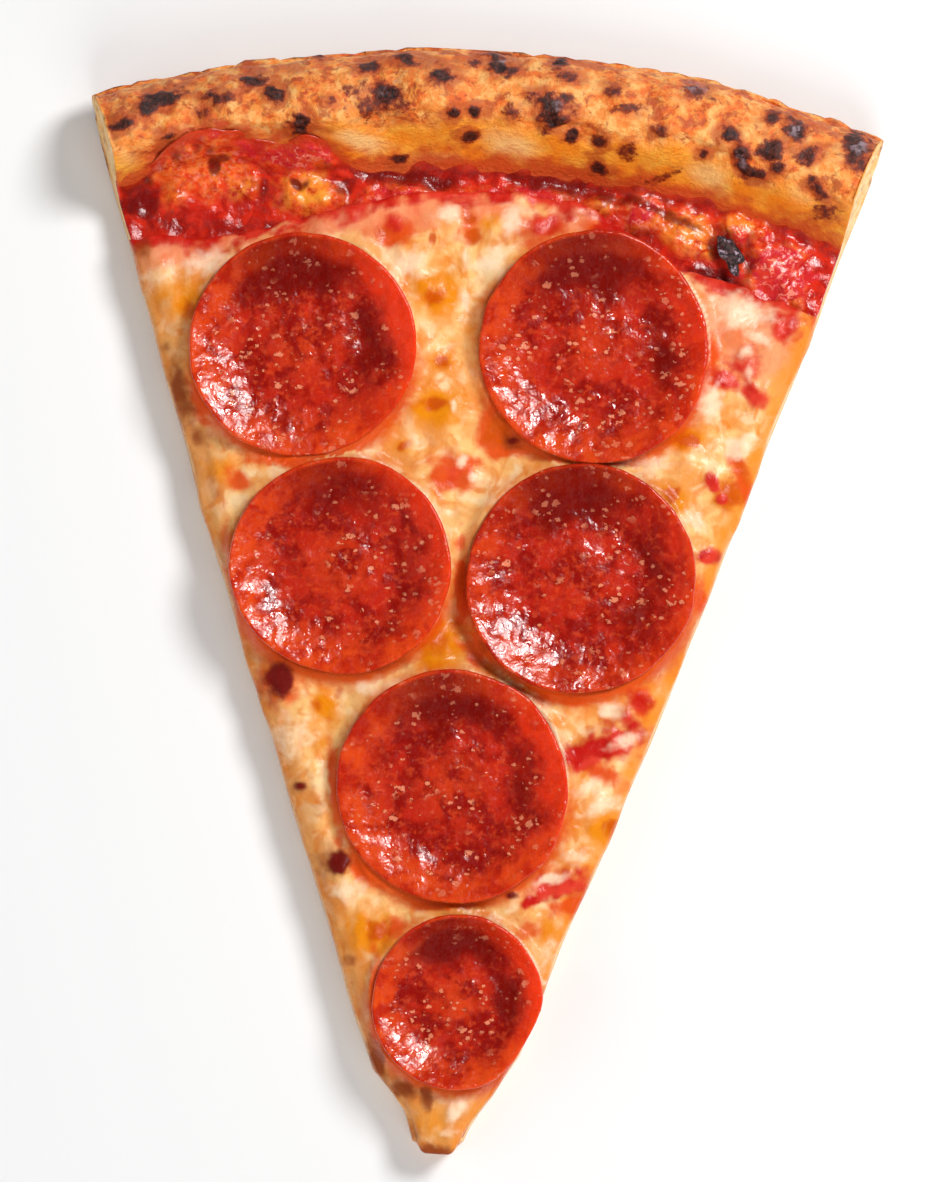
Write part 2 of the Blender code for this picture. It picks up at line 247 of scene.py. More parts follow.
def block(name, across, along, levels):
    """A closed block of faces, from -1 to 1 across and along and from 0 to 1 high."""
    deselect_all()
    bpy.ops.mesh.primitive_grid_add(x_subdivisions=across, y_subdivisions=along, size=2)
    piece = bpy.context.object
    piece.name = piece.data.name = name
    bpy.ops.object.mode_set(mode="EDIT")
    bpy.context.tool_settings.mesh_select_mode = (False, False, True)
    for _ in range(levels):
        bpy.ops.mesh.extrude_region_move(TRANSFORM_OT_translate={"value": (0, 0, 1 / levels)})
    bpy.ops.mesh.select_all(action="SELECT")
    bpy.ops.mesh.normals_make_consistent(inside=False)
    bpy.ops.mesh.select_all(action="DESELECT")
    bpy.ops.object.mode_set(mode="OBJECT")
    return piece


def places_of(mesh):
    places = np.empty(len(mesh.vertices) * 3)
    mesh.vertices.foreach_get("co", places)
    return places.reshape(-1, 3)


def move_to(mesh, places):
    mesh.vertices.foreach_set("co", places.ravel())
    mesh.update()


def normals_of(mesh):
    normals = np.empty(len(mesh.vertices) * 3)
    mesh.vertex_normals.foreach_get("vector", normals)
    return normals.reshape(-1, 3)


def make_finer(piece, chosen, cuts=1):
    """Subdivides the faces whose middles and normals the function chosen picks."""
    faces = piece.data.polygons
    middles, normals = np.empty(len(faces) * 3), np.empty(len(faces) * 3)
    faces.foreach_get("center", middles)
    faces.foreach_get("normal", normals)
    faces.foreach_set("select", chosen(middles.reshape(-1, 3), normals.reshape(-1, 3)))
    bpy.ops.object.mode_set(mode="EDIT")
    bpy.ops.mesh.subdivide(number_cuts=cuts)
    bpy.ops.mesh.select_all(action="DESELECT")
    bpy.ops.object.mode_set(mode="OBJECT")


def close_and_smooth(piece):
    """Joins what has come together at one place and shades the faces smooth."""
    bpy.ops.object.mode_set(mode="EDIT")
    bpy.ops.mesh.select_all(action="SELECT")
    bpy.ops.mesh.remove_doubles(threshold=0.002 * MM)
    bpy.ops.mesh.normals_make_consistent(inside=False)
    bpy.ops.object.mode_set(mode="OBJECT")
    bpy.ops.object.shade_smooth()


def set_mask(piece, name, values):
    """Keeps one number for each point, from 0 to 1, for the piece's material."""
    layer = piece.data.attributes.new(name, "FLOAT", "POINT")
    layer.data.foreach_set("value", np.clip(values, 0, 1))


def paint(red, green, blue):
    """A colour given as on a screen, 0 to 255, as the light values that a shader takes."""
    levels = np.array((red, green, blue)) / 255
    linear = np.where(levels <= 0.04045, levels / 12.92, ((levels + 0.055) / 1.055) ** 2.4)
    return (*linear.tolist(), 1.0)


class Finish:
    """A material, with short calls for the patterns and mixes that its colour and bump are made of."""

    def __init__(self, name, **values):
        self.material = bpy.data.materials.new(name)
        self.material.use_nodes = True
        self.tree = self.material.node_tree
        self.shader = self.tree.nodes["Principled BSDF"]
        for socket, value in values.items():
            self.shader.inputs[socket.replace("_", " ")].default_value = value
        self.place = self.tree.nodes.new("ShaderNodeTexCoord").outputs["Object"]

    def put(self, value, socket):
        if isinstance(value, bpy.types.NodeSocket):
            self.tree.links.new(value, socket)
        else:
            socket.default_value = value

    def mask(self, name):
        node = self.tree.nodes.new("ShaderNodeAttribute")
        node.attribute_name = name
        return node.outputs["Fac"]

    def stretched(self, scale):
        node = self.tree.nodes.new("ShaderNodeMapping")
        self.put(self.place, node.inputs["Vector"])
        node.inputs["Scale"].default_value = scale
        return node.outputs["Vector"]

    def pattern(self, size, detail=3.0, roughness=0.55, distortion=0.0, place=None):
        """Cloudy noise, 0 to 1, that changes over size."""
        node = self.tree.nodes.new("ShaderNodeTexNoise")
        self.put(place or self.place, node.inputs["Vector"])
        node.inputs["Scale"].default_value = 1 / size
        node.inputs["Detail"].default_value = detail
        node.inputs["Roughness"].default_value = roughness
        node.inputs["Distortion"].default_value = distortion
        return node.outputs["Fac"]

    def dots(self, size, place=None):
        """Distance to the nearest of many scattered dots, and a number of its own for each dot."""
        node = self.tree.nodes.new("ShaderNodeTexVoronoi")
        self.put(place or self.place, node.inputs["Vector"])
        node.inputs["Scale"].default_value = 1 / size
        return node.outputs["Distance"], node.outputs["Color"]

    def maths(self, operation, first, second):
        node = self.tree.nodes.new("ShaderNodeMath")
        node.operation = operation
        self.put(first, node.inputs[0])
        self.put(second, node.inputs[1])
        return node.outputs[0]

    def times(self, first, second):
        return self.maths("MULTIPLY", first, second)

    def plus(self, first, second):
        return self.maths("ADD", first, second)

    def step(self, value, low, high):
        """Goes smoothly from 0 at low to 1 at high."""
        node = self.tree.nodes.new("ShaderNodeMapRange")
        node.interpolation_type = "SMOOTHSTEP"
        self.put(value, node.inputs["Value"])
        node.inputs["From Min"].default_value = low
        node.inputs["From Max"].default_value = high
        return node.outputs["Result"]

    def between(self, value, low, high):
        """The same from 0 to 1, turned into a number from low to high."""
        return self.plus(self.times(value, high - low), low)

    def mix(self, amount, below, above):
        node = self.tree.nodes.new("ShaderNodeMix")
        node.data_type = "RGBA"
        self.put(amount, node.inputs["Factor"])
        self.put(below, node.inputs[6])
        self.put(above, node.inputs[7])
        return node.outputs[2]

    def finish(self, colour, roughness, height, depth):
        """Joins the colour, the roughness and the bump of this depth to the shader."""
        bump = self.tree.nodes.new("ShaderNodeBump")
        bump.inputs["Distance"].default_value = depth
        self.put(height, bump.inputs["Height"])
        self.put(bump.outputs["Normal"], self.shader.inputs["Normal"])
        self.put(colour, self.shader.inputs["Base Color"])
        self.put(roughness, self.shader.inputs["Roughness"])
        return self.material


# Steps of the dough: along the flat base, up the inner slope of the rim and round its outside
BASE_STEPS, SLOPE_STEPS, OUTSIDE_STEPS = 88, 17, 13
DOUGH_STEPS = BASE_STEPS + SLOPE_STEPS + OUTSIDE_STEPS
ACROSS_STEPS, THICK_STEPS = 84, 8

# How far in from the outer edge the browned crest ends and where it is full
CREST_END, CREST_FULL = 14.5 * MM, 11.5 * MM
RIND_DEPTH = 0.7 * MM
PORE_DEPTH = 1.6 * MM

# Burnt blisters and spots of the rim
CHAR = (
    (156, 102, 25, 8, 22, 1.0), (119, 126, 13, 5, 20, 0.9), (168, 138, 7, 4, 0, 0.8),
    (217, 97, 11, 6, 10, 1.0), (204, 111, 6, 8, 0, 0.6), (255, 80, 12, 7, -20, 1.0),
    (272, 91, 11, 6, -50, 0.95), (300, 125, 10, 9, 0, 1.0), (320, 56, 6, 3, 0, 0.7),
    (365, 66, 12, 5, 15, 0.8), (384, 95, 11, 9, 0, 1.0), (378, 101, 26, 16, -10, 0.55),
    (407, 59, 10, 6, 0, 1.0), (442, 74, 9, 8, 0, 0.9), (455, 112, 6, 5, 0, 0.9), (474, 113, 6, 5, 0, 0.9),
    (470, 136, 7, 5, 0, 0.9), (399, 160, 7, 5, 0, 0.8), (332, 99, 4, 4, 0, 0.6), (476, 60, 8, 4, 0, 0.7),
    (499, 62, 15, 8, -30, 1.0), (560, 62, 7, 5, 0, 0.9), (555, 113, 16, 15, 0, 1.0),
    (573, 136, 5, 5, 0, 0.9), (511, 111, 7, 8, 0, 0.55), (568, 78, 10, 5, 0, 0.6),
    (612, 90, 7, 7, 0, 0.6), (629, 108, 10, 5, 10, 0.6), (695, 90, 15, 7, -15, 0.6),
    (599, 143, 7, 6, 0, 0.75), (627, 149, 9, 8, 0, 0.55), (598, 169, 8, 5, 0, 0.85),
    (660, 130, 7, 6, 0, 0.6), (731, 136, 8, 6, -30, 1.0), (741, 156, 8, 17, 20, 1.0),
    (753, 174, 11, 5, 0, 1.0), (772, 150, 12, 9, 30, 0.85), (776, 168, 8, 5, 0, 0.8),
    (771, 115, 7, 6, 0, 0.8), (797, 130, 12, 11, 0, 0.9), (808, 154, 9, 10, -30, 0.7),
    (858, 149, 12, 16, 20, 0.95), (805, 102, 7, 4, -20, 0.8), (818, 190, 6, 14, 40, 0.7),
    (826, 212, 12, 7, 0, 0.6), (704, 155, 4, 4, 0, 0.8), (664, 178, 14, 4, 20, 0.45),
    (533, 95, 5, 4, 0, 0.5),
)
# Grey on the char: ash, partly painted glints
ASH_AND_GLINTS = (
    (797, 128, 7, 7, 0, 1.0), (858, 146, 7, 8, 0, 1.0), (695, 88, 12, 5, -15, 0.7),
    (741, 158, 4, 8, 20, 0.6), (502, 60, 5, 3, -30, 0.8), (384, 92, 4, 4, 0, 0.6),
    (557, 106, 6, 4, 0, 0.5), (397, 82, 5, 4, 0, 0.4),
)
PALE_DOUGH = (
    (365, 142, 24, 9, -15, 0.9), (510, 145, 24, 12, -10, 0.8), (710, 178, 20, 12, -30, 0.7),
    (440, 158, 20, 5, 0, 0.4), (130, 150, 12, 12, 20, 0.6), (800, 190, 12, 12, -40, 0.4),
)


# How far from the pizza's centre the sauce reaches up the rim, at turns across the slice
SAUCE_REACH = ((-1.0, 188.2), (-0.75, 193.0), (-0.5, 188.9), (-0.3, 185.2), (1.0, 184.4))


def along(points, turn):
    """A length read at turn from a short list of (turn, mm) and eased in between."""
    turns, lengths = np.array(points).T
    after = np.clip(np.searchsorted(turns, turn), 1, len(turns) - 1)
    part = ease(turns[after - 1], turns[after], turn)
    return (lengths[after - 1] + (lengths[after] - lengths[after - 1]) * part) * MM


def ragged_reach(points, turn, seed):
    """The same, with an uneven edge that creeps in and out by a millimetre or so."""
    line = np.stack((turn * 60 * MM, turn * 0, turn * 0), axis=1)
    return along(points, turn) + 1.2 * MM * layered(line, 8 * MM, seed, 2)


def dough_lines(station, turn):
    """The dough's top and underside, as radii and heights, at each step from the tip outwards."""
    outer, foot = outer_radius(turn), rim_foot(turn)
    flat_end, under_end = PIZZA_RADIUS - RIM_WIDTH, PIZZA_RADIUS - RIM_UNDERCUT
    on_base = share(0, BASE_STEPS, station)
    on_slope = share(BASE_STEPS, BASE_STEPS + SLOPE_STEPS, station)
    outside = share(BASE_STEPS + SLOPE_STEPS, DOUGH_STEPS, station)
    top = TIP_RADIUS + on_base * (foot - TIP_RADIUS) + on_slope * (outer - CREST_INSET - foot)
    height = dough_top(top, turn)
    swelling = height - RIM_HEIGHT
    fall = outside * math.pi / 2
    risen = WAIST_HEIGHT + (RIM_HEIGHT - WAIST_HEIGHT) * np.cos(fall)
    bent = risen + swelling * ease(0, RIM_HEIGHT, risen)
    height = np.where(outside > 0, bent, height)
    top = top + CREST_INSET * np.sin(fall)
    under = TIP_RADIUS + on_base * (flat_end - TIP_RADIUS) + on_slope * (under_end - flat_end)
    under = under + RIM_UNDERCUT * np.sin(fall) + (outer - PIZZA_RADIUS) * outside
    underside = WAIST_HEIGHT * (1 - np.cos(fall))
    underside = np.where(outside >= 1, height, underside)
    return top, height, under, underside


def make_dough():
    piece = block("baked_dough", ACROSS_STEPS, DOUGH_STEPS, THICK_STEPS)
    slope_start = 2 * BASE_STEPS / DOUGH_STEPS - 1
    outside_start = 2 * (BASE_STEPS + SLOPE_STEPS) / DOUGH_STEPS - 1
    # The cuts and the top of the rim are made finer twice, the tip and the outside of the rim once
    make_finer(piece, lambda middle, normal: (
        (np.abs(normal[:, 0]) > 0.9) | (middle[:, 1] > slope_start) & (normal[:, 2] > 0.9)
    ))
    make_finer(piece, lambda middle, normal: (
        (np.abs(normal[:, 0]) > 0.9) | (normal[:, 1] < -0.9)
        | (middle[:, 1] > slope_start) & (normal[:, 2] > 0.9)
        | (middle[:, 1] > outside_start) & (normal[:, 2] < -0.9)
    ))
    even, station, level = places_of(piece.data).T
    turn = crowded(even, 0.1)
    station = (station + 1) / 2 * DOUGH_STEPS
    top, height, under, underside = dough_lines(station, turn)
    radius = under + (top - under) * level
    thickness = height - underside
    high = underside + thickness * level
    places = on_slice(radius, turn, high)
    move_to(piece.data, places)

    on_cut = (np.abs(even) > 0.9999) & (level > 0.001) & (level < 0.999)
    on_top = level > 0.999
    rise = share(BASE_HEIGHT, RIM_HEIGHT, high)
    from_edge = outer_radius(turn) - radius + 2.2 * MM * layered(places, 7 * MM, 3, 2)
    crest = ease(CREST_END, CREST_FULL, from_edge) * ease(0.2, 0.6, rise) * ~on_cut
    outside = share(BASE_STEPS + SLOPE_STEPS, DOUGH_STEPS, station)
    crest = np.maximum(crest, ease(0, 0.2, outside) * ~on_cut)
    skin = np.minimum(level, 1 - level) * thickness
    skin = np.minimum(skin, np.maximum(0, outer_radius(turn) - radius))
    rind = np.where(on_cut, np.exp(-skin / RIND_DEPTH), 1.0)

    # The crumb: bubbles in the cut faces, large in the rim and small and flat in the base
    stretched = places * (0.7, 0.7, 1.5)
    in_rim = ease(PIZZA_RADIUS - RIM_WIDTH - 3 * MM, PIZZA_RADIUS - RIM_WIDTH + 5 * MM, radius)
    pores = np.zeros(len(places))
    for size, seed, amount, where in ((6.5, 21, 1.0, in_rim), (3.4, 22, 0.8, 1), (1.7, 23, 0.4, 1)):
        warped = stretched + 0.4 * size * MM * rough(stretched, size * MM, seed + 40)[:, None]
        nearest, number = bubbles(warped, size * MM, seed)
        hollow = 1 - ease(0.15 + 0.2 * number, 0.35 + 0.4 * number, nearest)
        pores = np.maximum(pores, amount * where * (number < 0.65) * hollow)
    pores *= on_cut * ease(0.2 * MM, 1.1 * MM, skin)
    inwards = np.copysign(1.0, -even)
    places[:, 0] += inwards * PORE_DEPTH * pores

    # The skin: small puffs over the top of the rim, raised and cratered where it is burnt
    char = marks(places, CHAR, ragged=0.7, size=2.2 * MM, soft=0.8) * on_top
    normals = normals_of(piece.data)
    skin_relief = 0.42 * layered(places, 5 * MM, 5, 2) + 0.17 * layered(places, 1.9 * MM, 9, 2)
    skin_relief = (skin_relief - 0.4) * crest + 0.15 * layered(places, 7 * MM, 15) * ease(0.1, 0.5, rise)
    skin_relief += (0.5 * char - 0.6 * char**3 * ease(-0.1, 0.5, rough(places, 2.2 * MM, 31))) * crest
    skin_relief += 0.10 * layered(places, 3 * MM, 33) * (level < 0.001) * (high > 0.5 * MM)
    places += normals * (skin_relief * MM * ~on_cut)[:, None]
    move_to(piece.data, np.clip(places, cad_box[0], cad_box[1]))

    set_mask(piece, "rind", rind)
    set_mask(piece, "crest", crest)
    set_mask(piece, "char", char)
    wide = [(across, down, long + 7, broad + 6, *rest) for across, down, long, broad, *rest in CHAR]
    scorched = marks(places, wide, ragged=0.6, size=3 * MM, seed=12, soft=0.9)
    behind = ease(0.35, 0.6, outside) * ease(0.25, 0.5, layered(places, 6 * MM, 17, 2))
    set_mask(piece, "scorched", np.maximum(scorched, 0.6 * behind) * on_top)
    set_mask(piece, "ash_and_glints", marks(places, ASH_AND_GLINTS, ragged=0.4) * on_top)
    set_mask(piece, "pale", marks(places, PALE_DOUGH, ragged=0.3, size=4 * MM, soft=0.7) * on_top)
    set_mask(piece, "pores", pores)
    set_mask(piece, "under", (level < 0.001) * ease(6 * MM, 1 * MM, high))
    set_mask(piece, "foot", ease(5 * MM, 0.5 * MM, radius - rim_foot(turn)) * on_top)
    beyond = radius - ragged_reach(SAUCE_REACH, turn, 51) + 1.2 * MM * layered(places, 2.5 * MM, 16, 2)
    set_mask(piece, "sauced", ease(2.6 * MM, -0.4 * MM, beyond) * on_top)
    close_and_smooth(piece)
    return piece


def dough_finish():
    made = Finish("baked dough")
    fine, coarse = made.pattern(1.5 * MM, 3, 0.55), made.pattern(5 * MM, 3, 0.6, 0.4)
    tan = made.mix(made.step(fine, 0.36, 0.66), paint(242, 140, 56), paint(252, 188, 108))
    orange = made.mix(made.step(fine, 0.4, 0.6), paint(232, 106, 32), paint(246, 148, 60))
    top = made.mix(made.step(coarse, 0.42, 0.60), tan, orange)
    flecks = made.step(made.plus(made.pattern(2.4 * MM, 3, 0.65, 0.6), made.times(coarse, 0.4)), 0.71, 0.84)
    top = made.mix(made.times(flecks, 0.7), top, paint(168, 62, 26))
    slope = made.mix(made.step(coarse, 0.35, 0.7), paint(252, 142, 28), paint(255, 178, 62))
    slope = made.mix(made.mask("pale"), slope, paint(255, 206, 132))
    slope = made.mix(made.times(made.mask("foot"), 0.5), slope, paint(196, 84, 30))
    skin = made.mix(made.mask("crest"), slope, top)
    skin = made.mix(made.times(made.mask("sauced"), 0.85), skin, paint(198, 60, 26))
    cloudy = made.step(made.pattern(7 * MM, 4, 0.6), 0.4, 0.65)
    toasted = made.mix(cloudy, paint(222, 160, 98), paint(150, 84, 42))
    flour = made.step(made.pattern(2.5 * MM, 5, 0.7), 0.5, 0.72)
    toasted = made.mix(made.times(flour, 0.5), toasted, paint(240, 214, 176))
    burnt = made.step(made.pattern(9 * MM, 5, 0.65, 0.5), 0.6, 0.68)
    toasted = made.mix(made.times(burnt, 0.85), toasted, paint(72, 38, 24))
    skin = made.mix(made.mask("under"), skin, toasted)
    grit = made.pattern(0.8 * MM, 4, 0.7)
    ragged = made.plus(made.mask("char"), made.times(made.plus(grit, -0.5), 1.4))
    halo = made.plus(made.mask("scorched"), made.times(made.plus(fine, -0.5), 0.8))
    skin = made.mix(made.times(made.step(halo, 0.15, 0.7), 0.8), skin, paint(188, 78, 28))
    skin = made.mix(made.times(made.step(ragged, 0.1, 0.5), 0.92), skin, paint(128, 38, 12))
    soot = made.mix(made.step(grit, 0.4, 0.62), paint(34, 14, 11), paint(92, 38, 26))
    skin = made.mix(made.step(ragged, 0.45, 0.7), skin, soot)
    # Ash on the char, partly painted glints
    skin = made.mix(made.times(made.mask("ash_and_glints"), made.step(fine, 0.42, 0.6)), skin, paint(150, 128, 136))
    soft = made.step(made.pattern(2 * MM, 3), 0.35, 0.7)
    crumb = made.mix(soft, paint(254, 202, 128), paint(255, 222, 170))
    # Painted shade: the crumb is darker inside its pores
    crumb = made.mix(made.mask("pores"), crumb, paint(232, 154, 84))
    colour = made.mix(made.step(made.mask("rind"), 0.25, 0.85), crumb, skin)
    height = made.plus(made.pattern(0.7 * MM, 3, 0.6), made.times(fine, 0.8))
    roughness = made.between(made.mask("crest"), 0.5, 0.62)
    return made.finish(colour, roughness, height, 0.35 * MM)


dough = make_dough()
dough.data.materials.append(dough_finish())
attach(dough, "root")
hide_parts("crust")


# The sauce. Crushed tomato spread thin over the base and out to the rim. It is cooked: in the band that
# the cheese leaves bare it has dried to soft lumps, some of them browned, with wet dark red in between.

GAP = 0.35 * MM
SAUCE_FILM = 0.9 * MM
CHEESE_REACH = ((-1.0, 179.0), (-0.75, 175.5), (-0.05, 180.0), (0.22, 180.0), (0.6, 172.0), (1.0, 171.5))
# Steps of the sauce, under the cheese and in the bare band, and the radius at which the band starts
HIDDEN_STEPS, BAND_STEPS, BAND_START = 60, 34, 158 * MM
SAUCE_ACROSS, SAUCE_LEVELS = 116, 2

LUMPS = (
    (200, 165, 44, 30, 0, 1.0), (244, 186, 14, 12, 0, 0.7), (295, 156, 34, 13, 0, 0.8),
    (308, 194, 27, 17, 0, 1.0), (392, 200, 30, 14, 0, 0.8), (372, 228, 15, 8, 0, 0.7),
    (548, 200, 30, 12, -10, 0.6), (642, 214, 20, 18, 0, 0.8), (684, 232, 22, 18, 0, 0.8),
    (742, 228, 22, 15, 0, 1.0), (772, 266, 24, 24, 0, 1.0), (790, 296, 14, 20, 10, 0.9),
    (470, 196, 24, 9, 0, 0.5), (600, 205, 16, 10, 0, 0.5),
)
TOASTED_SAUCE = (
    (308, 194, 20, 13, 0, 1.0), (244, 188, 11, 8, 0, 0.9), (372, 228, 13, 7, 0, 0.9),
    (684, 232, 20, 14, 0, 0.6), (740, 222, 14, 7, 0, 0.6), (170, 190, 9, 14, 0, 0.35),
    (600, 206, 10, 7, 0, 0.5), (700, 250, 14, 7, -20, 0.6),
)
DEEP_SAUCE = (
    (138, 194, 17, 30, 10, 1.0), (172, 222, 26, 11, -10, 0.6), (215, 226, 22, 8, 0, 0.45),
    (287, 228, 50, 8, 0, 0.6), (264, 190, 7, 22, 0, 0.6), (297, 185, 8, 3, -45, 1.0),
    (305, 186, 5, 3, 45, 0.8), (213, 164, 6, 11, 15, 1.0), (222, 158, 8, 4, 0, 0.8),
    (176, 156, 5, 5, 0, 0.6), (196, 150, 4, 6, 0, 0.6), (346, 182, 12, 12, 0, 0.7),
    (395, 173, 58, 11, -6, 1.0), (560, 185, 66, 11, -12, 1.0), (640, 238, 24, 9, 0, 0.6),
    (710, 280, 26, 14, -10, 1.0), (748, 262, 6, 26, 0, 0.7), (660, 212, 60, 5, -25, 0.7),
    (724, 246, 14, 18, 0, 0.9),
)
PINK_SAUCE = (
    (216, 134, 10, 5, 0, 0.9), (252, 150, 16, 12, 0, 0.7), (295, 156, 30, 12, 0, 1.0),
    (392, 200, 28, 12, 0, 0.9), (776, 276, 28, 34, 0, 1.0), (540, 200, 34, 11, -10, 0.9),
    (640, 214, 18, 10, 0, 0.7), (500, 196, 20, 8, 0, 0.6), (740, 236, 16, 10, 0, 0.7),
)


def sauce_film(radius, turn):
    return dough_top(radius, turn) + GAP


def make_sauce():
    steps = HIDDEN_STEPS + BAND_STEPS
    piece = block("cooked_sauce", SAUCE_ACROSS, steps, SAUCE_LEVELS)
    band = 2 * HIDDEN_STEPS / steps - 1
    make_finer(piece, lambda middle, normal: (middle[:, 1] > band) & (normal[:, 2] > -0.5), cuts=2)
    even, station, level = places_of(piece.data).T
    turn = crowded(even, 0.1)
    station = (station + 1) / 2 * steps
    reach = ragged_reach(SAUCE_REACH, turn, 51)
    start = TIP_RADIUS + 0.9 * MM
    radius = start + share(0, HIDDEN_STEPS, station) * (BAND_START - start)
    radius = radius + share(HIDDEN_STEPS, steps, station) * (reach - BAND_START)
    places = on_slice(radius, turn, sauce_film(radius, turn) + SAUCE_FILM)
    in_band = ease(BAND_START, 172 * MM, radius) * (1 - share(reach - 2.5 * MM, reach, radius) ** 2)
    lumps = marks(places, LUMPS, ragged=0.5, size=3.5 * MM, seed=61, soft=0.6)
    holes = marks(places, DEEP_SAUCE, ragged=0.55, size=3.5 * MM, seed=62, soft=0.85)
    relief = 1.6 * lumps * (0.8 + 0.4 * layered(places, 3.6 * MM, 63, 2)) - 0.5 * holes
    relief += (
        0.50 * layered(places, 4.5 * MM, 64, 2)
        + 0.22 * layered(places, 1.9 * MM, 65, 2) * (0.3 + lumps)
    )
    inside = ease(reach, reach - 4 * MM, radius)
    film = SAUCE_FILM * inside - (GAP + 0.2 * MM) * (1 - inside)
    under = sauce_film(radius, turn) - GAP - 0.3 * MM
    top = sauce_film(radius, turn) + film + in_band * np.maximum(relief * MM, -0.5 * SAUCE_FILM)
    height = under + (top - under) * level
    places = on_slice(radius, turn, height)
    on_cut = np.abs(even) > 0.9999
    bulge = 0.05 + 0.35 * rough(places, 5 * MM, 66)
    bulge = bulge * np.sin(np.pi * np.clip(level, 0.1, 0.8))
    places[:, 0] += np.copysign(bulge, even) * MM * on_cut
    move_to(piece.data, places)
    set_mask(piece, "lumps", lumps)
    set_mask(piece, "toasted", marks(places, TOASTED_SAUCE, ragged=0.8, size=2.5 * MM, seed=67, soft=0.9))
    dried = 0.65 * (1 - lumps) * ease(reach - 5 * MM, reach - 1 * MM, radius) * ease(-0.55, -0.25, turn)
    set_mask(piece, "deep", np.maximum(holes, dried))
    creep = radius + 0.8 * MM * rough(places, 2 * MM, 69)
    set_mask(piece, "thin", ease(reach - 2.2 * MM, reach - 0.2 * MM, creep))
    set_mask(piece, "pink", marks(places, PINK_SAUCE, ragged=0.6, size=2.5 * MM, seed=68, soft=0.6))
    close_and_smooth(piece)
    return piece


def sauce_finish():
    made = Finish("cooked sauce", Coat_Weight=0.15, Coat_Roughness=0.18, Subsurface_Weight=0.12,
                  Subsurface_Scale=1.2 * MM, Subsurface_Radius=(1.0, 0.25, 0.12))
    fine, coarse = made.pattern(1.1 * MM, 3, 0.55), made.pattern(3 * MM, 3, 0.6, 0.6)
    wet = made.mix(made.step(coarse, 0.38, 0.62), paint(176, 26, 16), paint(218, 46, 24))
    lump = made.mix(made.step(fine, 0.38, 0.62), paint(228, 70, 24), paint(242, 122, 50))
    colour = made.mix(made.times(made.mask("lumps"), made.step(coarse, 0.28, 0.52)), wet, lump)
    flushed = made.step(made.mask("pink"), 0.15, 0.7)
    flushed = made.times(flushed, made.between(made.step(fine, 0.4, 0.6), 0.5, 1))
    colour = made.mix(flushed, colour, paint(204, 32, 46))
    # Pale pulp specks on the lumps, strongest on the pink ones, partly painted glints
    pulp_and_glints = made.times(made.step(made.pattern(1.0 * MM, 2, 0.6, 0.5), 0.54, 0.64), made.mask("lumps"))
    pale = made.times(pulp_and_glints, made.between(made.mask("pink"), 0.5, 0.95))
    colour = made.mix(pale, colour, paint(244, 144, 122))
    toast = made.times(made.mask("toasted"), made.step(made.plus(coarse, made.times(fine, 0.4)), 0.45, 0.75))
    colour = made.mix(toast, colour, paint(244, 156, 48))
    deep = made.plus(made.mask("deep"), made.times(made.plus(fine, -0.5), 0.7))
    colour = made.mix(made.times(made.step(deep, 0.15, 0.9), 0.9), colour, paint(108, 12, 10))
    colour = made.mix(made.times(made.mask("thin"), 0.65), colour, paint(204, 60, 26))
    roughness = made.between(made.step(fine, 0.35, 0.7), 0.18, 0.38)
    return made.finish(colour, roughness, fine, 0.25 * MM)


sauce = make_sauce()
sauce.data.materials.append(sauce_finish())
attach(sauce, "root")
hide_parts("sauce")


# The cheese. Mozzarella that melted into one soft sheet and set again: cream, blistered golden where it
# bubbled, stained orange by the pepperoni's oil, and with sauce boiled up through it towards the cuts.

CHEESE_ACROSS, CHEESE_ALONG, CHEESE_LEVELS = 100, 164, 3
CHEESE_DEPTH = 2.7 * MM
CHEESE_BUMP = 1.1 * MM
CHEESE_BUMP_LENGTH = 15 * MM
CHEESE_SHOULDER = 4 * MM
CHEESE_SHOULDER_DROP = 1.5 * MM
CHEESE_MARGIN_WIDTH = 6 * MM
CHEESE_MARGIN_DROP = 1.8 * MM
SEAT_HEIGHT = 8.5 * MM
SEAT_REACH = 1.5 * MM
CUP_HEIGHT = 3.0 * MM
CUP_START = 0.5
CUP_POWER = 1.5
CUP_UNEVEN = 0.22

# Each pepperoni: its middle and radius in mm, the slope of its seat along X and Y, where it is long
PEPPERONI = (
    ("pepperoni_rim_left", -28.5, 153.2, 18.1, (0.01, 0.03), 0.4),
    ("pepperoni_rim_right", 19.3, 155.1, 18.6, (-0.02, 0.03), 1.9),
    ("pepperoni_middle_left", -20.4, 117.4, 17.6, (0.03, -0.01), 3.0),
    ("pepperoni_middle_right", 19.0, 117.2, 18.5, (-0.03, 0.0), 0.9),
    ("pepperoni_lower", -0.3, 82.1, 18.7, (0.0, 0.02), 2.2),
    ("pepperoni_tip", 2.4, 46.9, 13.9, (0.0, 0.03), 1.55),
)

# Marks on the cheese: golden blisters and their darker middles, oil stains, sauce that boiled through, dark
# drops of it, milky places with painted glints among them, and browned ones with painted shade along the
# left cut
BLISTERS = (
    (182, 304, 22, 18, -20, 0.7), (437, 292, 22, 20, 0, 0.95), (441, 362, 12, 11, 0, 0.85),
    (437, 408, 24, 15, 0, 0.95), (684, 438, 24, 12, -10, 0.9), (674, 499, 11, 15, 30, 0.9),
    (440, 645, 24, 22, 0, 1.0), (326, 708, 16, 18, 0, 0.75), (322, 743, 8, 8, 0, 0.6),
    (370, 930, 24, 22, 0, 0.75), (728, 494, 16, 18, 0, 0.8), (606, 830, 24, 12, 0, 0.75),
    (402, 446, 12, 8, 0, 0.6), (432, 1122, 22, 18, 0, 0.5), (640, 672, 20, 12, -45, 0.6),
    (548, 930, 12, 14, 0, 0.6), (158, 345, 10, 18, 0, 0.3), (490, 222, 10, 9, 0, 0.5),
    (470, 330, 8, 10, 0, 0.5), (220, 468, 16, 14, 0, 0.5),
)
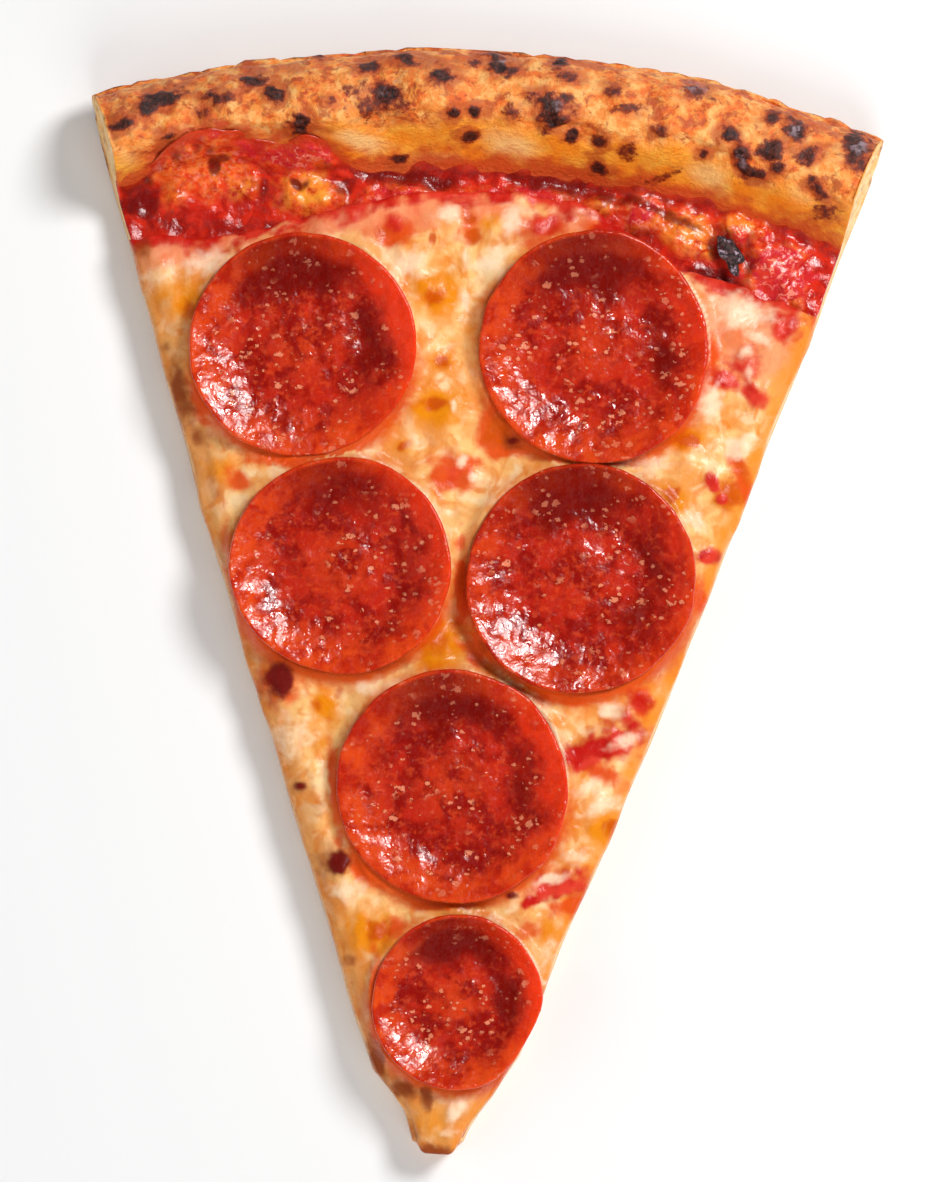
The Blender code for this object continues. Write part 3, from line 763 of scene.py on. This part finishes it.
BLISTER_CORES = (
    (190, 310, 11, 10, 0, 0.7), (434, 298, 11, 9, 0, 0.9), (442, 363, 7, 7, 0, 0.9),
    (435, 404, 12, 6, 0, 1.0), (688, 440, 16, 8, -10, 0.9), (672, 494, 8, 9, 0, 0.9),
    (440, 645, 14, 12, 0, 0.6), (318, 706, 8, 7, 0, 0.6), (338, 692, 4, 8, -40, 0.6),
    (378, 931, 11, 11, 0, 1.0), (469, 217, 9, 6, -40, 0.9), (474, 236, 8, 10, 0, 0.9),
    (433, 240, 4, 8, 0, 0.9), (403, 446, 7, 4, 30, 1.0), (383, 232, 8, 7, 0, 0.8),
    (498, 432, 14, 18, 0, 0.9), (728, 496, 13, 14, 0, 0.9), (742, 470, 6, 26, 20, 0.6),
    (610, 828, 8, 8, 0, 0.8),
)
STAINS = (
    (462, 590, 8, 38, 0, 1.0), (478, 650, 12, 20, 30, 0.8), (560, 697, 40, 7, -6, 0.8),
    (200, 400, 8, 30, 15, 0.7), (232, 560, 6, 50, 10, 0.5), (240, 480, 14, 10, -30, 0.7),
    (290, 463, 40, 6, -5, 0.8), (488, 420, 8, 30, -20, 0.6), (498, 440, 15, 14, 0, 0.9),
    (440, 680, 40, 6, 0, 0.6), (335, 790, 5, 50, 5, 0.7), (360, 870, 20, 8, -40, 0.8),
    (395, 930, 10, 16, -40, 0.6), (376, 1000, 6, 40, 0, 0.9), (430, 905, 30, 6, 0, 0.5),
    (712, 365, 6, 26, 0, 0.7), (722, 380, 22, 9, 0, 0.9), (700, 600, 8, 30, 20, 0.7),
    (395, 232, 20, 12, 0, 0.8), (470, 232, 10, 12, 0, 0.5), (545, 230, 22, 14, 0, 0.7),
    (600, 232, 20, 8, -20, 0.7), (455, 472, 24, 16, 0, 0.95), (742, 480, 8, 30, 20, 0.7),
    (640, 700, 10, 18, 30, 0.7), (596, 770, 30, 8, -30, 0.7), (620, 850, 8, 20, 30, 0.4),
    (570, 905, 16, 10, 30, 0.8), (530, 930, 16, 10, 0, 0.5), (510, 446, 16, 10, 0, 0.9),
    (440, 1078, 24, 7, 0, 0.5), (280, 684, 22, 22, 0, 0.6),
)
RED_PATCHES = (
    (455, 472, 12, 10, 0, 0.5), (545, 222, 18, 14, 0, 0.75), (754, 394, 17, 10, -50, 0.8),
    (746, 366, 17, 14, -30, 0.8), (785, 322, 14, 20, 20, 0.9), (713, 483, 8, 8, 0, 1.0),
    (722, 500, 6, 5, 0, 0.9), (706, 557, 10, 8, 10, 0.9), (608, 745, 36, 20, 15, 1.0),
    (578, 756, 22, 14, 0, 0.95), (628, 722, 14, 12, 0, 0.9), (555, 886, 28, 14, 20, 1.0),
    (532, 900, 10, 7, 0, 1.0), (238, 242, 7, 8, 0, 0.8), (172, 236, 20, 7, 0, 0.7),
    (690, 600, 8, 14, 10, 0.5), (500, 690, 8, 9, 0, 0.5), (465, 600, 5, 16, 0, 0.6),
    (395, 222, 14, 9, 0, 0.7), (640, 704, 10, 13, 30, 0.75), (724, 379, 19, 8, -25, 0.85),
)
DROPS = (
    (280, 680, 14, 17, 0, 1.0), (300, 786, 7, 5, 0, 0.8), (338, 863, 11, 12, -30, 1.0),
    (514, 441, 8, 4, 0, 0.8), (512, 895, 7, 4, 0, 0.8),
)
MILKY_AND_GLINTS = (
    (513, 216, 10, 14, 0, 1.0), (490, 262, 16, 13, 0, 0.8), (410, 262, 18, 15, 0, 0.75),
    (205, 262, 24, 14, 20, 0.8), (738, 446, 20, 11, 20, 0.9), (712, 402, 11, 22, -8, 1.0),
    (740, 312, 34, 18, -10, 0.85), (292, 735, 20, 26, 0, 0.6), (365, 690, 10, 8, 0, 0.8),
    (348, 890, 24, 14, 0, 0.6), (447, 212, 14, 10, 0, 0.9), (466, 258, 5, 12, 0, 0.7),
    (612, 710, 12, 9, 0, 1.0), (625, 741, 19, 7, 25, 0.8), (552, 878, 15, 6, 10, 0.9),
    (462, 462, 6, 7, 0, 0.9), (472, 478, 5, 5, 0, 0.9), (746, 352, 9, 5, 30, 0.9),
    (750, 372, 5, 8, 0, 0.8), (760, 340, 12, 6, -30, 0.8), (694, 520, 14, 14, 0, 0.6),
    (590, 786, 20, 9, 20, 0.7), (603, 806, 22, 9, 10, 0.8), (578, 856, 16, 9, 0, 0.6),
    (160, 275, 16, 12, 0, 0.6), (600, 480, 26, 7, 0, 0.4), (466, 300, 5, 12, 10, 0.8),
    (454, 408, 3, 8, 10, 0.8), (345, 655, 14, 6, 0, 0.6), (474, 700, 12, 6, -40, 0.6),
    (420, 440, 20, 10, 0, 0.5), (650, 464, 30, 9, 0, 0.6), (456, 1112, 8, 17, -30, 0.9),
    (446, 1132, 12, 7, 0, 0.6), (548, 950, 7, 26, -22, 0.6), (280, 692, 3, 3, 0, 0.6),
)
# Browned spots, and along the left cut painted shade where the cheese rounds down away from the lamp
BROWNED_AND_SHADED = (
    (145, 250, 10, 10, 0, 0.6), (182, 398, 8, 30, 15, 0.85), (197, 436, 10, 9, 0, 0.7),
    (165, 348, 6, 6, 0, 0.5), (262, 690, 6, 20, 10, 0.5), (316, 800, 6, 30, 18, 0.4),
    (332, 860, 19, 14, 0, 0.6), (402, 1088, 14, 9, -30, 0.8), (378, 1062, 8, 22, 20, 0.9),
    (436, 1154, 18, 9, 0, 1.0), (412, 1130, 5, 14, 15, 0.5), (212, 480, 6, 26, 15, 0.4),
    (232, 590, 5, 26, 12, 0.4), (350, 962, 7, 6, 0, 0.6), (485, 645, 7, 7, 0, 0.5),
    (426, 1098, 6, 13, 0, 0.9), (302, 788, 11, 8, 0, 0.6), (514, 444, 14, 9, 0, 0.6),
    (276, 684, 18, 20, 0, 0.5),
)


def from_cut(radius, turn):
    """The distance to the nearer cut, along an arc round the pizza's centre."""
    return (1 - np.abs(turn)) * radius * half_angle(radius, turn)


def facing(bearing, middle, spread):
    """How near each bearing, in radians, is to middle, in degrees."""
    return bell(np.angle(np.exp(1j * (bearing - math.radians(middle)))), 0, spread)


def cup(distance, radius):
    return CUP_HEIGHT * share(CUP_START, 1, distance / radius) ** CUP_POWER


def cheese_surface(radius, turn, reach, relief):
    """Height of the melted cheese, pushed down where a pepperoni lies on it and hugging its wall."""
    point = on_slice(radius, turn, np.full(len(radius), SEAT_HEIGHT))
    local = point - PIZZA_CENTRE
    bumps = waves(local[:, 0] / CHEESE_BUMP_LENGTH, local[:, 1] / CHEESE_BUMP_LENGTH, 6.6)
    to_cut = from_cut(radius, turn)
    shoulder = CHEESE_SHOULDER_DROP * (1 - share(0, CHEESE_SHOULDER, to_cut)) ** 2
    margin = CHEESE_MARGIN_DROP * share(reach - CHEESE_MARGIN_WIDTH, reach, radius) ** 2
    tip = CHEESE_SHOULDER_DROP * (1 - share(0, CHEESE_SHOULDER, radius - TIP_RADIUS)) ** 2
    level = dough_top(radius, 0 * turn) + 2 * GAP + SAUCE_FILM + CHEESE_DEPTH
    height = level + CHEESE_BUMP * bumps - np.maximum(np.maximum(shoulder, margin), tip) + relief
    near = np.full(len(radius), 99.0)
    bearing = np.zeros(len(radius))
    for _, x, y, size, slope, _ in PEPPERONI:
        offset = local[:, :2] - np.array((x, y)) * MM
        distance, size = np.hypot(*offset.T), size * MM
        seat = SEAT_HEIGHT + offset @ slope + cup(distance, size) * (1 - CUP_UNEVEN) - 0.15 * MM
        hug = 1.5 * MM * bell(distance - size, 0.3 * MM, 1.2 * MM)
        height = np.where(distance < size + SEAT_REACH, np.minimum(height + hug, seat), height + hug)
        closer = np.abs(distance - size) < np.abs(near)
        near = np.where(closer, distance - size, near)
        bearing = np.where(closer, np.arctan2(offset[:, 1], offset[:, 0]), bearing)
    return height, near, bearing


def make_cheese():
    start = TIP_RADIUS - 0.1 * MM
    piece = block("melted_cheese", CHEESE_ACROSS, CHEESE_ALONG, CHEESE_LEVELS)
    make_finer(piece, lambda middle, normal: normal[:, 2] > -0.5)
    even, station, level = places_of(piece.data).T
    turn = crowded(even, 0.15)
    reach = ragged_reach(CHEESE_REACH, turn, 71)
    radius = start + (station + 1) / 2 * (reach - start)
    places = on_slice(radius, turn, np.full(len(radius), 9 * MM))
    blisters = marks(places, BLISTERS, ragged=0.3, size=3 * MM, seed=72, soft=1)
    cores = marks(places, BLISTER_CORES, ragged=0.4, size=1.6 * MM, seed=84, soft=1)
    red = marks(places, RED_PATCHES, ragged=0.5, size=2.5 * MM, seed=73, soft=1)
    drops = marks(places, DROPS, ragged=0.2, size=2 * MM, seed=74, soft=0.8)
    milky_and_glints = marks(places, MILKY_AND_GLINTS, ragged=0.45, size=2 * MM, seed=75, soft=1)
    relief = 0.75 * layered(places, 8 * MM, 76, 2) + 0.24 * layered(places * (1.2, 0.8, 1), 3.2 * MM, 77, 2)
    relief += 0.5 * blisters - 0.25 * cores + 0.7 * drops + 0.4 * milky_and_glints
    relief += 0.7 * red * (0.5 + 0.7 * rough(places, 3 * MM, 78))
    top, near, bearing = cheese_surface(radius, turn, reach, relief * MM)
    sauce_top = sauce_film(radius, turn) + SAUCE_FILM
    lip = ease(reach, reach - 1.5 * MM, radius)
    under = sauce_top - 0.25 * MM
    top = np.maximum(under + 0.15 * MM + 0.5 * MM * lip, top)
    height = under + (top - under) * level
    places = on_slice(radius, turn, height)

    # The soft lip over each cut, where the melted sheet sagged outwards before it set
    on_cut = np.abs(even) > 0.9999
    sag = 0.55 + 0.45 * layered(places, 9 * MM, 79, 2)
    profile = np.sin(np.pi * np.clip(0.15 + 0.75 * level, 0, 1))
    places[:, 0] += np.copysign(1, even) * on_cut * np.maximum(sag, -0.1) * profile * MM
    places[:, 2] -= on_cut * (level < 0.7) * np.maximum(sag, 0) * 0.9 * MM * (1 - level)
    move_to(piece.data, np.clip(places, cad_box[0], cad_box[1]))

    seen = bearing - VIEW_TURN
    # Painted highlight: a thin pale line round each pepperoni on its lit side
    lit_side = facing(seen, 28, 0.75)
    painted_edge_highlight = bell(near, 0.3 * MM, 0.35 * MM) * lit_side
    # The oil stain round each pepperoni lies heaviest on its lower side, away from the lamp, where it is
    # also painted shade
    below = ease(-1.2, 0.4, -np.sin(seen - 0.6) + 0.6 * rough(places, 9 * MM, 80))
    shaded_oily_side = 0.3 + 0.9 * (1 - lit_side) * below
    oil_and_shade = np.exp(-np.maximum(near, 0) / (2.2 * MM)) * shaded_oily_side * (1 - painted_edge_highlight)
    to_cut = from_cut(radius, turn)
    # Painted shade: darker tan along the left cut, where the cheese rounds down away from the lamp; the same
    # darker tan is also put round the tip
    shaded_left_edge = ease(6 * MM, 0.5 * MM, to_cut + 2 * MM * rough(places, 8 * MM, 81)) * (turn < 0)
    right_edge = ease(3.2 * MM, 0.8 * MM, to_cut + 1 * MM * rough(places, 7 * MM, 82)) * (turn > 0)
    creep = radius + 2.2 * MM * layered(places, 4 * MM, 83)
    margin = ease(reach - 4 * MM, reach - 0.2 * MM, creep)
    blush = ease(reach - 12 * MM, reach - 3 * MM, creep) * ease(-0.7, 0.3, rough(places, 7 * MM, 86))
    tip = ease(16 * MM, 5 * MM, radius - TIP_RADIUS + 3 * MM * rough(places, 8 * MM, 88))
    shaded_left_edge = np.maximum(shaded_left_edge, 0.6 * tip)
    top_side = np.where(on_cut, ease(0.1, 1, level), 1)
    inside = 0.5 * on_cut * (1 - top_side)
    set_mask(piece, "golden", blisters * top_side)
    set_mask(piece, "core", cores * top_side)
    set_mask(piece, "stained", marks(places, STAINS, ragged=0.5, size=3 * MM, seed=87, soft=1))
    set_mask(piece, "red", np.maximum(red, 0.8 * margin) * top_side)
    set_mask(piece, "drops", drops * top_side)
    set_mask(piece, "milky_and_glints", np.maximum(np.maximum(milky_and_glints, 0.9 * painted_edge_highlight) * top_side, inside))
    set_mask(piece, "oil_and_shade", oil_and_shade * top_side)
    set_mask(piece, "browned_and_shaded", marks(places, BROWNED_AND_SHADED, ragged=0.5, size=2.5 * MM, seed=85, soft=1))
    set_mask(piece, "shaded_left_edge", shaded_left_edge * top_side)
    set_mask(piece, "right_edge", right_edge * top_side)
    blush = np.maximum(blush, 0.8 * ease(146 * MM, 164 * MM, creep) * ease(0.5, 0.75, turn))
    set_mask(piece, "blush", blush * top_side)
    close_and_smooth(piece)
    return piece


def cheese_finish():
    made = Finish("melted cheese", Specular_IOR_Level=0.28, Subsurface_Weight=0.2,
                  Subsurface_Scale=1.6 * MM, Subsurface_Radius=(1.0, 0.5, 0.25))
    fine, coarse = made.pattern(1.3 * MM, 3, 0.55), made.pattern(6 * MM, 3, 0.55, 0.5)
    uneven = made.plus(fine, -0.5)

    def spread(name, low, high, strength=1.0, raggedness=0.4):
        """How much of a mark's colour shows, with an uneven edge."""
        shown = made.plus(made.mask(name), made.times(uneven, raggedness))
        return made.times(made.step(shown, low, high), strength)

    cream = made.mix(made.step(coarse, 0.38, 0.62), paint(234, 150, 72), paint(247, 194, 122))
    # Painted glints: pale streaks over the cream
    glint_streaks = made.step(made.pattern(4.2 * MM, 2, 0.45, 0.7), 0.46, 0.68)
    cream = made.mix(made.times(glint_streaks, 0.7), cream, paint(252, 220, 172))
    patches = made.step(made.pattern(4.2 * MM, 2, 0.6, 0.6, made.stretched((1.3, 0.9, 1.0))), 0.54, 0.70)
    cream = made.mix(made.times(patches, 0.7), cream, paint(226, 126, 30))
    colour = made.mix(spread("blush", 0.2, 0.9, 0.65), cream, paint(236, 122, 92))
    # Painted shade along the left cut, and the same tan round the tip
    colour = made.mix(made.times(made.mask("shaded_left_edge"), 0.65), colour, paint(204, 116, 44))
    colour = made.mix(made.times(made.mask("right_edge"), 0.8), colour, paint(238, 140, 36))
    colour = made.mix(spread("golden", 0.05, 0.7, 1.0, 0.35), colour, paint(230, 136, 8))
    # Oil stain, partly painted shade away from the lamp
    colour = made.mix(spread("oil_and_shade", 0.1, 0.75, 0.95), colour, paint(214, 74, 12))
    colour = made.mix(spread("stained", 0.05, 0.65, 0.95), colour, paint(222, 76, 14))
    colour = made.mix(spread("core", 0.15, 0.8, 0.9, 0.3), colour, paint(200, 76, 0))
    sauce_colour = made.mix(made.step(coarse, 0.4, 0.62), paint(192, 24, 16), paint(218, 60, 42))
    colour = made.mix(spread("red", 0.15, 0.8), colour, sauce_colour)
    # Browned spots and painted shade along the left cut
    colour = made.mix(spread("browned_and_shaded", 0.1, 0.8, 0.9), colour, paint(144, 58, 20))
    # Milky places, partly painted glints, and the painted highlight round each pepperoni
    colour = made.mix(spread("milky_and_glints", 0.2, 0.95, 0.85, 0.6), colour, paint(254, 224, 190))
    colour = made.mix(spread("drops", 0.2, 0.8), colour, paint(112, 20, 14))
    roughness = made.between(made.step(fine, 0.35, 0.7), 0.26, 0.44)
    return made.finish(colour, roughness, made.plus(fine, made.times(coarse, 2.0)), 0.16 * MM)


cheese = make_cheese()
cheese.data.materials.append(cheese_finish())
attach(cheese, "root")
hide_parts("cheese")


# The pepperoni. Six thin slices of cured sausage. In the oven their edges shrank and curled up into
# shallow cups, the fat ran out over them, and the walls turned thin enough to let the light glow through.

PEPPERONI_DEPTH = 1.7 * MM
PEPPERONI_STEPS, PEPPERONI_LEVELS = 60, 3

# Of each pepperoni: how much its edge has shrunk in towards the right cut, how orange its oil is (and its
# painted lit lower-left wall), how strong the painted glow along its right wall is and how dark the painted
# shade on its far wall is
PEPPERONI_LOOKS = (
    (0, 0.7, 0.95, 0.92), (0, 0.6, 0.4, 0.9), (0, 0.85, 0.7, 0.6), (0, 0.3, 0.25, 0.85),
    (0, 0.7, 0.7, 0.75), (0.10, 1.0, 0.9, 1.0),
)


def make_pepperoni(name, x, y, size, slope, long_way, looks, seed):
    shrunk, oily, painted_glow_strength, painted_shade_strength = looks
    piece = block(name + "_slice", PEPPERONI_STEPS, PEPPERONI_STEPS, PEPPERONI_LEVELS)
    make_finer(piece, lambda middle, normal: normal[:, 2] > -0.5)
    across, up, level = places_of(piece.data).T
    part = np.maximum(np.abs(across), np.abs(up))
    # Square rings become round ones
    flatter = np.abs(up) <= np.abs(across)
    ratio = np.where(flatter, up, across) / np.where(part > 0, np.where(flatter, across, up), 1)
    angle = np.where(flatter, ratio * math.pi / 4, math.pi / 2 - ratio * math.pi / 4)
    angle = angle + np.where(np.where(flatter, across, up) < 0, math.pi, 0)
    part = part ** 0.93
    on_edge = part > 0.9999
    circle = np.stack((np.cos(angle), np.sin(angle), angle * 0), axis=1)
    outline = 1 + 0.012 * np.cos(2 * (angle - long_way)) + 0.008 * np.cos(3 * angle + long_way)
    outline = outline + 0.012 * layered(circle, 0.45, seed) * part**3
    outline = outline - shrunk * part**2 * facing(angle, -30, 0.45)
    distance = part * size * MM
    rise = cup(distance, size * MM) * (1 + CUP_UNEVEN * np.cos(2 * (angle - long_way)))
    rise = rise * (1 + 0.12 * rough(circle, 0.6, seed + 3))
    thick = PEPPERONI_DEPTH * (1 - 0.45 * part**4)
    places = circle * (distance * outline)[:, None]
    rounding = 0.35 * MM * np.sin(np.pi * level)
    places += circle * (rounding * on_edge)[:, None]
    flat = places + np.array((x, y, 0)) * MM
    meat = 0.22 * layered(flat, 4.2 * MM, seed + 5, 2) + 0.04 * rough(flat, 1.4 * MM, seed + 7)
    meat += 0.45 * bell(part, 0, 0.4) - 0.2 * bell(part, 0.62, 0.16)
    meat = meat * ease(1.0, 0.9, part) - 0.05 * (part > 0.97)
    places[:, 2] = rise + thick * level + meat * MM * (level > 0.999)
    slant = places @ np.array((slope[0], slope[1], 0))
    places[:, 2] += SEAT_HEIGHT + slant
    places[:, :2] += np.array((x, y)) * MM
    places += PIZZA_CENTRE
    move_to(piece.data, places)
    seen = angle - VIEW_TURN
    uneven = part + 0.07 * rough(flat, 5 * MM, seed + 12)
    # The orange rim ring, partly oil and partly a painted glow of light through the thin wall: it starts
    # further out on the right and is left off the far side, where the painted shade reaches the edge
    wall_start = 0.76 + 0.16 * facing(seen, 20, 0.9)
    bare = 0.85 * facing(seen, 98, 0.6) * ease(1.0, 0.97, part)
    wall = ease(0, 1, (uneven - wall_start) / 0.1) * (1 - bare)
    set_mask(piece, "wall", wall * (0.3 + 0.7 * oily))
    # Painted shade: the far wall is darkened, and so is a band just inside the right wall, where a cupped
    # slice shades its own floor
    painted_shade = facing(seen, 94, 0.8) * ease(0.30, 0.66, uneven) * ease(1.03, 0.97, part)
    painted_shade = painted_shade_strength * np.maximum(painted_shade, 0.7 * facing(seen, 0, 0.75) * bell(uneven, 0.62, 0.17))
    set_mask(piece, "painted_shade", painted_shade + 0.35 * rough(flat, 6 * MM, seed + 13) * ease(0.9, 0.5, part))
    # Painted glow: a bright red band along the right wall, where light would shine through the thin meat
    set_mask(piece, "painted_glow", facing(seen, 15, 0.85) * ease(0.76, 0.88, uneven) * painted_glow_strength)
    # Oranger middle, from the oil; the lower-left wall is made oranger too, as painted light where the lamp
    # falls on it
    middle = 0.7 * bell(part, 0, 0.28)
    oily_and_lit = np.maximum(middle, facing(seen, 225, 1.5) * ease(0.5, 0.85, uneven))
    set_mask(piece, "oily_and_lit", oily_and_lit * oily)
    close_and_smooth(piece)
    return piece


def pepperoni_finish():
    made = Finish("cured sausage", Coat_Weight=0.12, Coat_Roughness=0.15, Subsurface_Weight=0.25,
                  Subsurface_Scale=1.5 * MM, Subsurface_Radius=(1.0, 0.12, 0.05))
    fine, coarse = made.pattern(1.1 * MM, 3, 0.6), made.pattern(4 * MM, 3, 0.6, 0.4)
    meat = made.mix(made.step(coarse, 0.38, 0.62), paint(146, 18, 12), paint(188, 36, 20))
    meat = made.mix(made.times(made.step(fine, 0.50, 0.68), 0.5), meat, paint(220, 76, 36))
    # Oil orange in the middle and painted light on the lower-left wall
    meat = made.mix(made.times(made.mask("oily_and_lit"), made.step(coarse, 0.36, 0.58)), meat, paint(222, 72, 26))
    # Painted shade, darkest on the far wall
    meat = made.mix(made.times(made.step(made.mask("painted_shade"), 0.06, 0.75), 0.9), meat, paint(112, 12, 8))
    # The rim ring's orange-red: oil, and a painted glow through the thin wall
    wall = made.mix(made.step(coarse, 0.35, 0.65), paint(202, 44, 16), paint(228, 80, 24))
    meat = made.mix(made.times(made.mask("wall"), 0.75), meat, wall)
    # Painted glow along the right wall
    meat = made.mix(made.times(made.mask("painted_glow"), 0.9), meat, paint(240, 58, 20))
    # Fat, partly painted glints: ragged pale specks of two sizes, gathered in clusters and fewer where the
    # painted shade darkens the meat
    clusters = made.step(made.pattern(7 * MM, 2), 0.42, 0.54)
    clusters = made.times(clusters, made.between(made.mask("painted_shade"), 1, 0.3))
    crumbly = made.times(made.plus(made.pattern(0.6 * MM, 2, 0.6), -0.5), 0.9)
    fat_and_glints = 0
    for size, biggest in ((2.3 * MM, 0.32), (1.3 * MM, 0.34)):
        distance, number = made.dots(size, made.stretched((1.0, 1.35, 1.0)))
        wide = made.times(made.step(number, 0.46, 0.78), biggest)
        inside = made.plus(wide, made.times(made.plus(distance, crumbly), -1))
        fat_and_glints = made.maths("MAXIMUM", fat_and_glints, made.step(inside, -0.02, 0.05))
    on_wall = made.maths("MAXIMUM", made.mask("wall"), made.mask("painted_glow"))
    fat_and_glints = made.times(made.times(fat_and_glints, clusters), made.between(on_wall, 1, 0.3))
    meat = made.mix(made.times(fat_and_glints, 0.8), meat, paint(240, 146, 108))
    wet = made.pattern(1.5 * MM, 3, 0.6, 0.6, made.stretched((1.5, 0.8, 1.0)))
    wet = made.step(wet, 0.44, 0.58)
    roughness = made.between(wet, 0.30, 0.12)
    height = made.plus(made.pattern(1.8 * MM, 2, 0.5), made.times(fat_and_glints, 0.5))
    height = made.plus(height, made.times(made.pattern(0.7 * MM, 1, 0.5), 0.22))
    return made.finish(meat, roughness, height, 0.3 * MM)


sausage = pepperoni_finish()
for count, (name, *form) in enumerate(PEPPERONI):
    pepperoni = make_pepperoni(name, *form, PEPPERONI_LOOKS[count], 200 + 20 * count)
    pepperoni.data.materials.append(sausage)
    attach(pepperoni, "root")
    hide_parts(name)


# A scrap of herb. One small leaf that fell among the sauce by the right cut and burnt to a curled black
# flake, with patches of grey ash, partly painted glints, over its upper side.

# Its place in the picture, its height, half its sizes in mm and its tilt in degrees
LEAF_PLACE, LEAF_HEIGHT = (731, 254), 7.4 * MM
LEAF_SIZES, LEAF_TILT = (1.7, 3.1, 0.25), 28


def place_seen_at(across, down, height):
    """The place at this height that the picture shows at this point."""
    scale = (VIEW_HEIGHT - height) / (VIEW_HEIGHT - VIEW_LEVEL) * VIEW_SPAN / PICTURE_HEIGHT
    right, up = (across - PICTURE_WIDTH / 2) * scale, (PICTURE_HEIGHT / 2 - down) * scale
    cosine, sine = math.cos(VIEW_TURN), math.sin(VIEW_TURN)
    return VIEW_CENTRE[0] + right * cosine - up * sine, VIEW_CENTRE[1] + right * sine + up * cosine


def make_leaf():
    deselect_all()
    bpy.ops.mesh.primitive_ico_sphere_add(subdivisions=6, radius=1)
    piece = bpy.context.object
    piece.name = piece.data.name = "burnt_leaf"
    ball = places_of(piece.data)
    crumple = 1 + 0.34 * layered(ball * (1, 1, 0.3), 0.9, 91, 2)
    places = ball * crumple[:, None] * np.array(LEAF_SIZES) * MM
    places[:, 2] += 0.35 * MM * layered(ball, 0.8, 94, 2) * (1 - 0.5 * ball[:, 2] ** 2)
    places[:, 2] += 0.28 * MM * (places[:, 1] / MM / 2) ** 2
    tilt = math.radians(LEAF_TILT)
    turn = np.array(((math.cos(tilt), -math.sin(tilt)), (math.sin(tilt), math.cos(tilt))))
    places[:, :2] = places[:, :2] @ turn.T + place_seen_at(*LEAF_PLACE, LEAF_HEIGHT)
    places[:, 2] += LEAF_HEIGHT
    move_to(piece.data, places)
    # Grey ash and painted glints, on the upper side only
    set_mask(piece, "ash_and_glints", ease(0.0, 0.4, rough(ball, 0.6, 93)) * ease(0.1, 0.7, ball[:, 2]))
    bpy.ops.object.shade_smooth()
    made = Finish("burnt leaf")
    fine = made.pattern(0.5 * MM, 4, 0.65)
    colour = made.mix(made.step(fine, 0.4, 0.65), paint(30, 18, 20), paint(82, 48, 46))
    colour = made.mix(made.times(made.mask("ash_and_glints"), made.step(fine, 0.45, 0.6)), colour, paint(172, 150, 166))
    piece.data.materials.append(made.finish(colour, made.between(fine, 0.3, 0.6), fine, 0.3 * MM))
    return piece


leaf = make_leaf()
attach(leaf, "root")


# The table and the light. A plain pale table, one large soft lamp from the upper right of the picture,
# weaker ones from the other sides, and the camera straight above with the slice's own slight turn.

deselect_all()
bpy.ops.mesh.primitive_plane_add(size=4)
table = bpy.context.object
table.name = "table"
pale = bpy.data.materials.new("pale table")
pale.use_nodes = True
pale.node_tree.nodes["Principled BSDF"].inputs["Base Color"].default_value = (0.86, 0.86, 0.86, 1)
pale.node_tree.nodes["Principled BSDF"].inputs["Roughness"].default_value = 0.8
table.data.materials.append(pale)

# Each lamp: bearing and height in degrees, distance, width, power in watts
LAMPS = (
    ("key_lamp", 40, 50, 0.75, 0.25, 4.7),
    ("left_lamp", 190, 40, 0.9, 0.8, 2.0),
    ("front_lamp", 285, 40, 0.9, 0.8, 4.2),
)
for name, bearing, up, distance, width, power in LAMPS:
    lamp = bpy.data.lights.new(name, "AREA")
    lamp.shape = "DISK"
    lamp.size = width
    lamp.energy = power
    holder = bpy.data.objects.new(name, lamp)
    holder.visible_glossy = name == "key_lamp"
    bpy.context.scene.collection.objects.link(holder)
    bearing, up = math.radians(bearing) + VIEW_TURN, math.radians(up)
    flat_distance = distance * math.cos(up)
    holder.location = (
        flat_distance * math.cos(bearing), flat_distance * math.sin(bearing), distance * math.sin(up)
    )
    holder.rotation_euler = (math.pi / 2 - up, 0, bearing + math.pi / 2)

sky = bpy.data.worlds.new("soft light")
sky.use_nodes = True
sky.node_tree.nodes["Background"].inputs["Color"].default_value = (1, 1, 1, 1)
sky.node_tree.nodes["Background"].inputs["Strength"].default_value = 0.14
sky.cycles_visibility.glossy = False
bpy.context.scene.world = sky

lens = bpy.data.cameras.new("view")
lens.lens = LENS
lens.sensor_width = SENSOR
lens.clip_start = 0.01
camera = bpy.data.objects.new("view", lens)
bpy.context.scene.collection.objects.link(camera)
camera.location = (*VIEW_CENTRE, VIEW_HEIGHT)
camera.rotation_euler = (0, 0, VIEW_TURN)
bpy.context.scene.camera = camera
bpy.context.scene.view_settings.view_transform = "Standard"
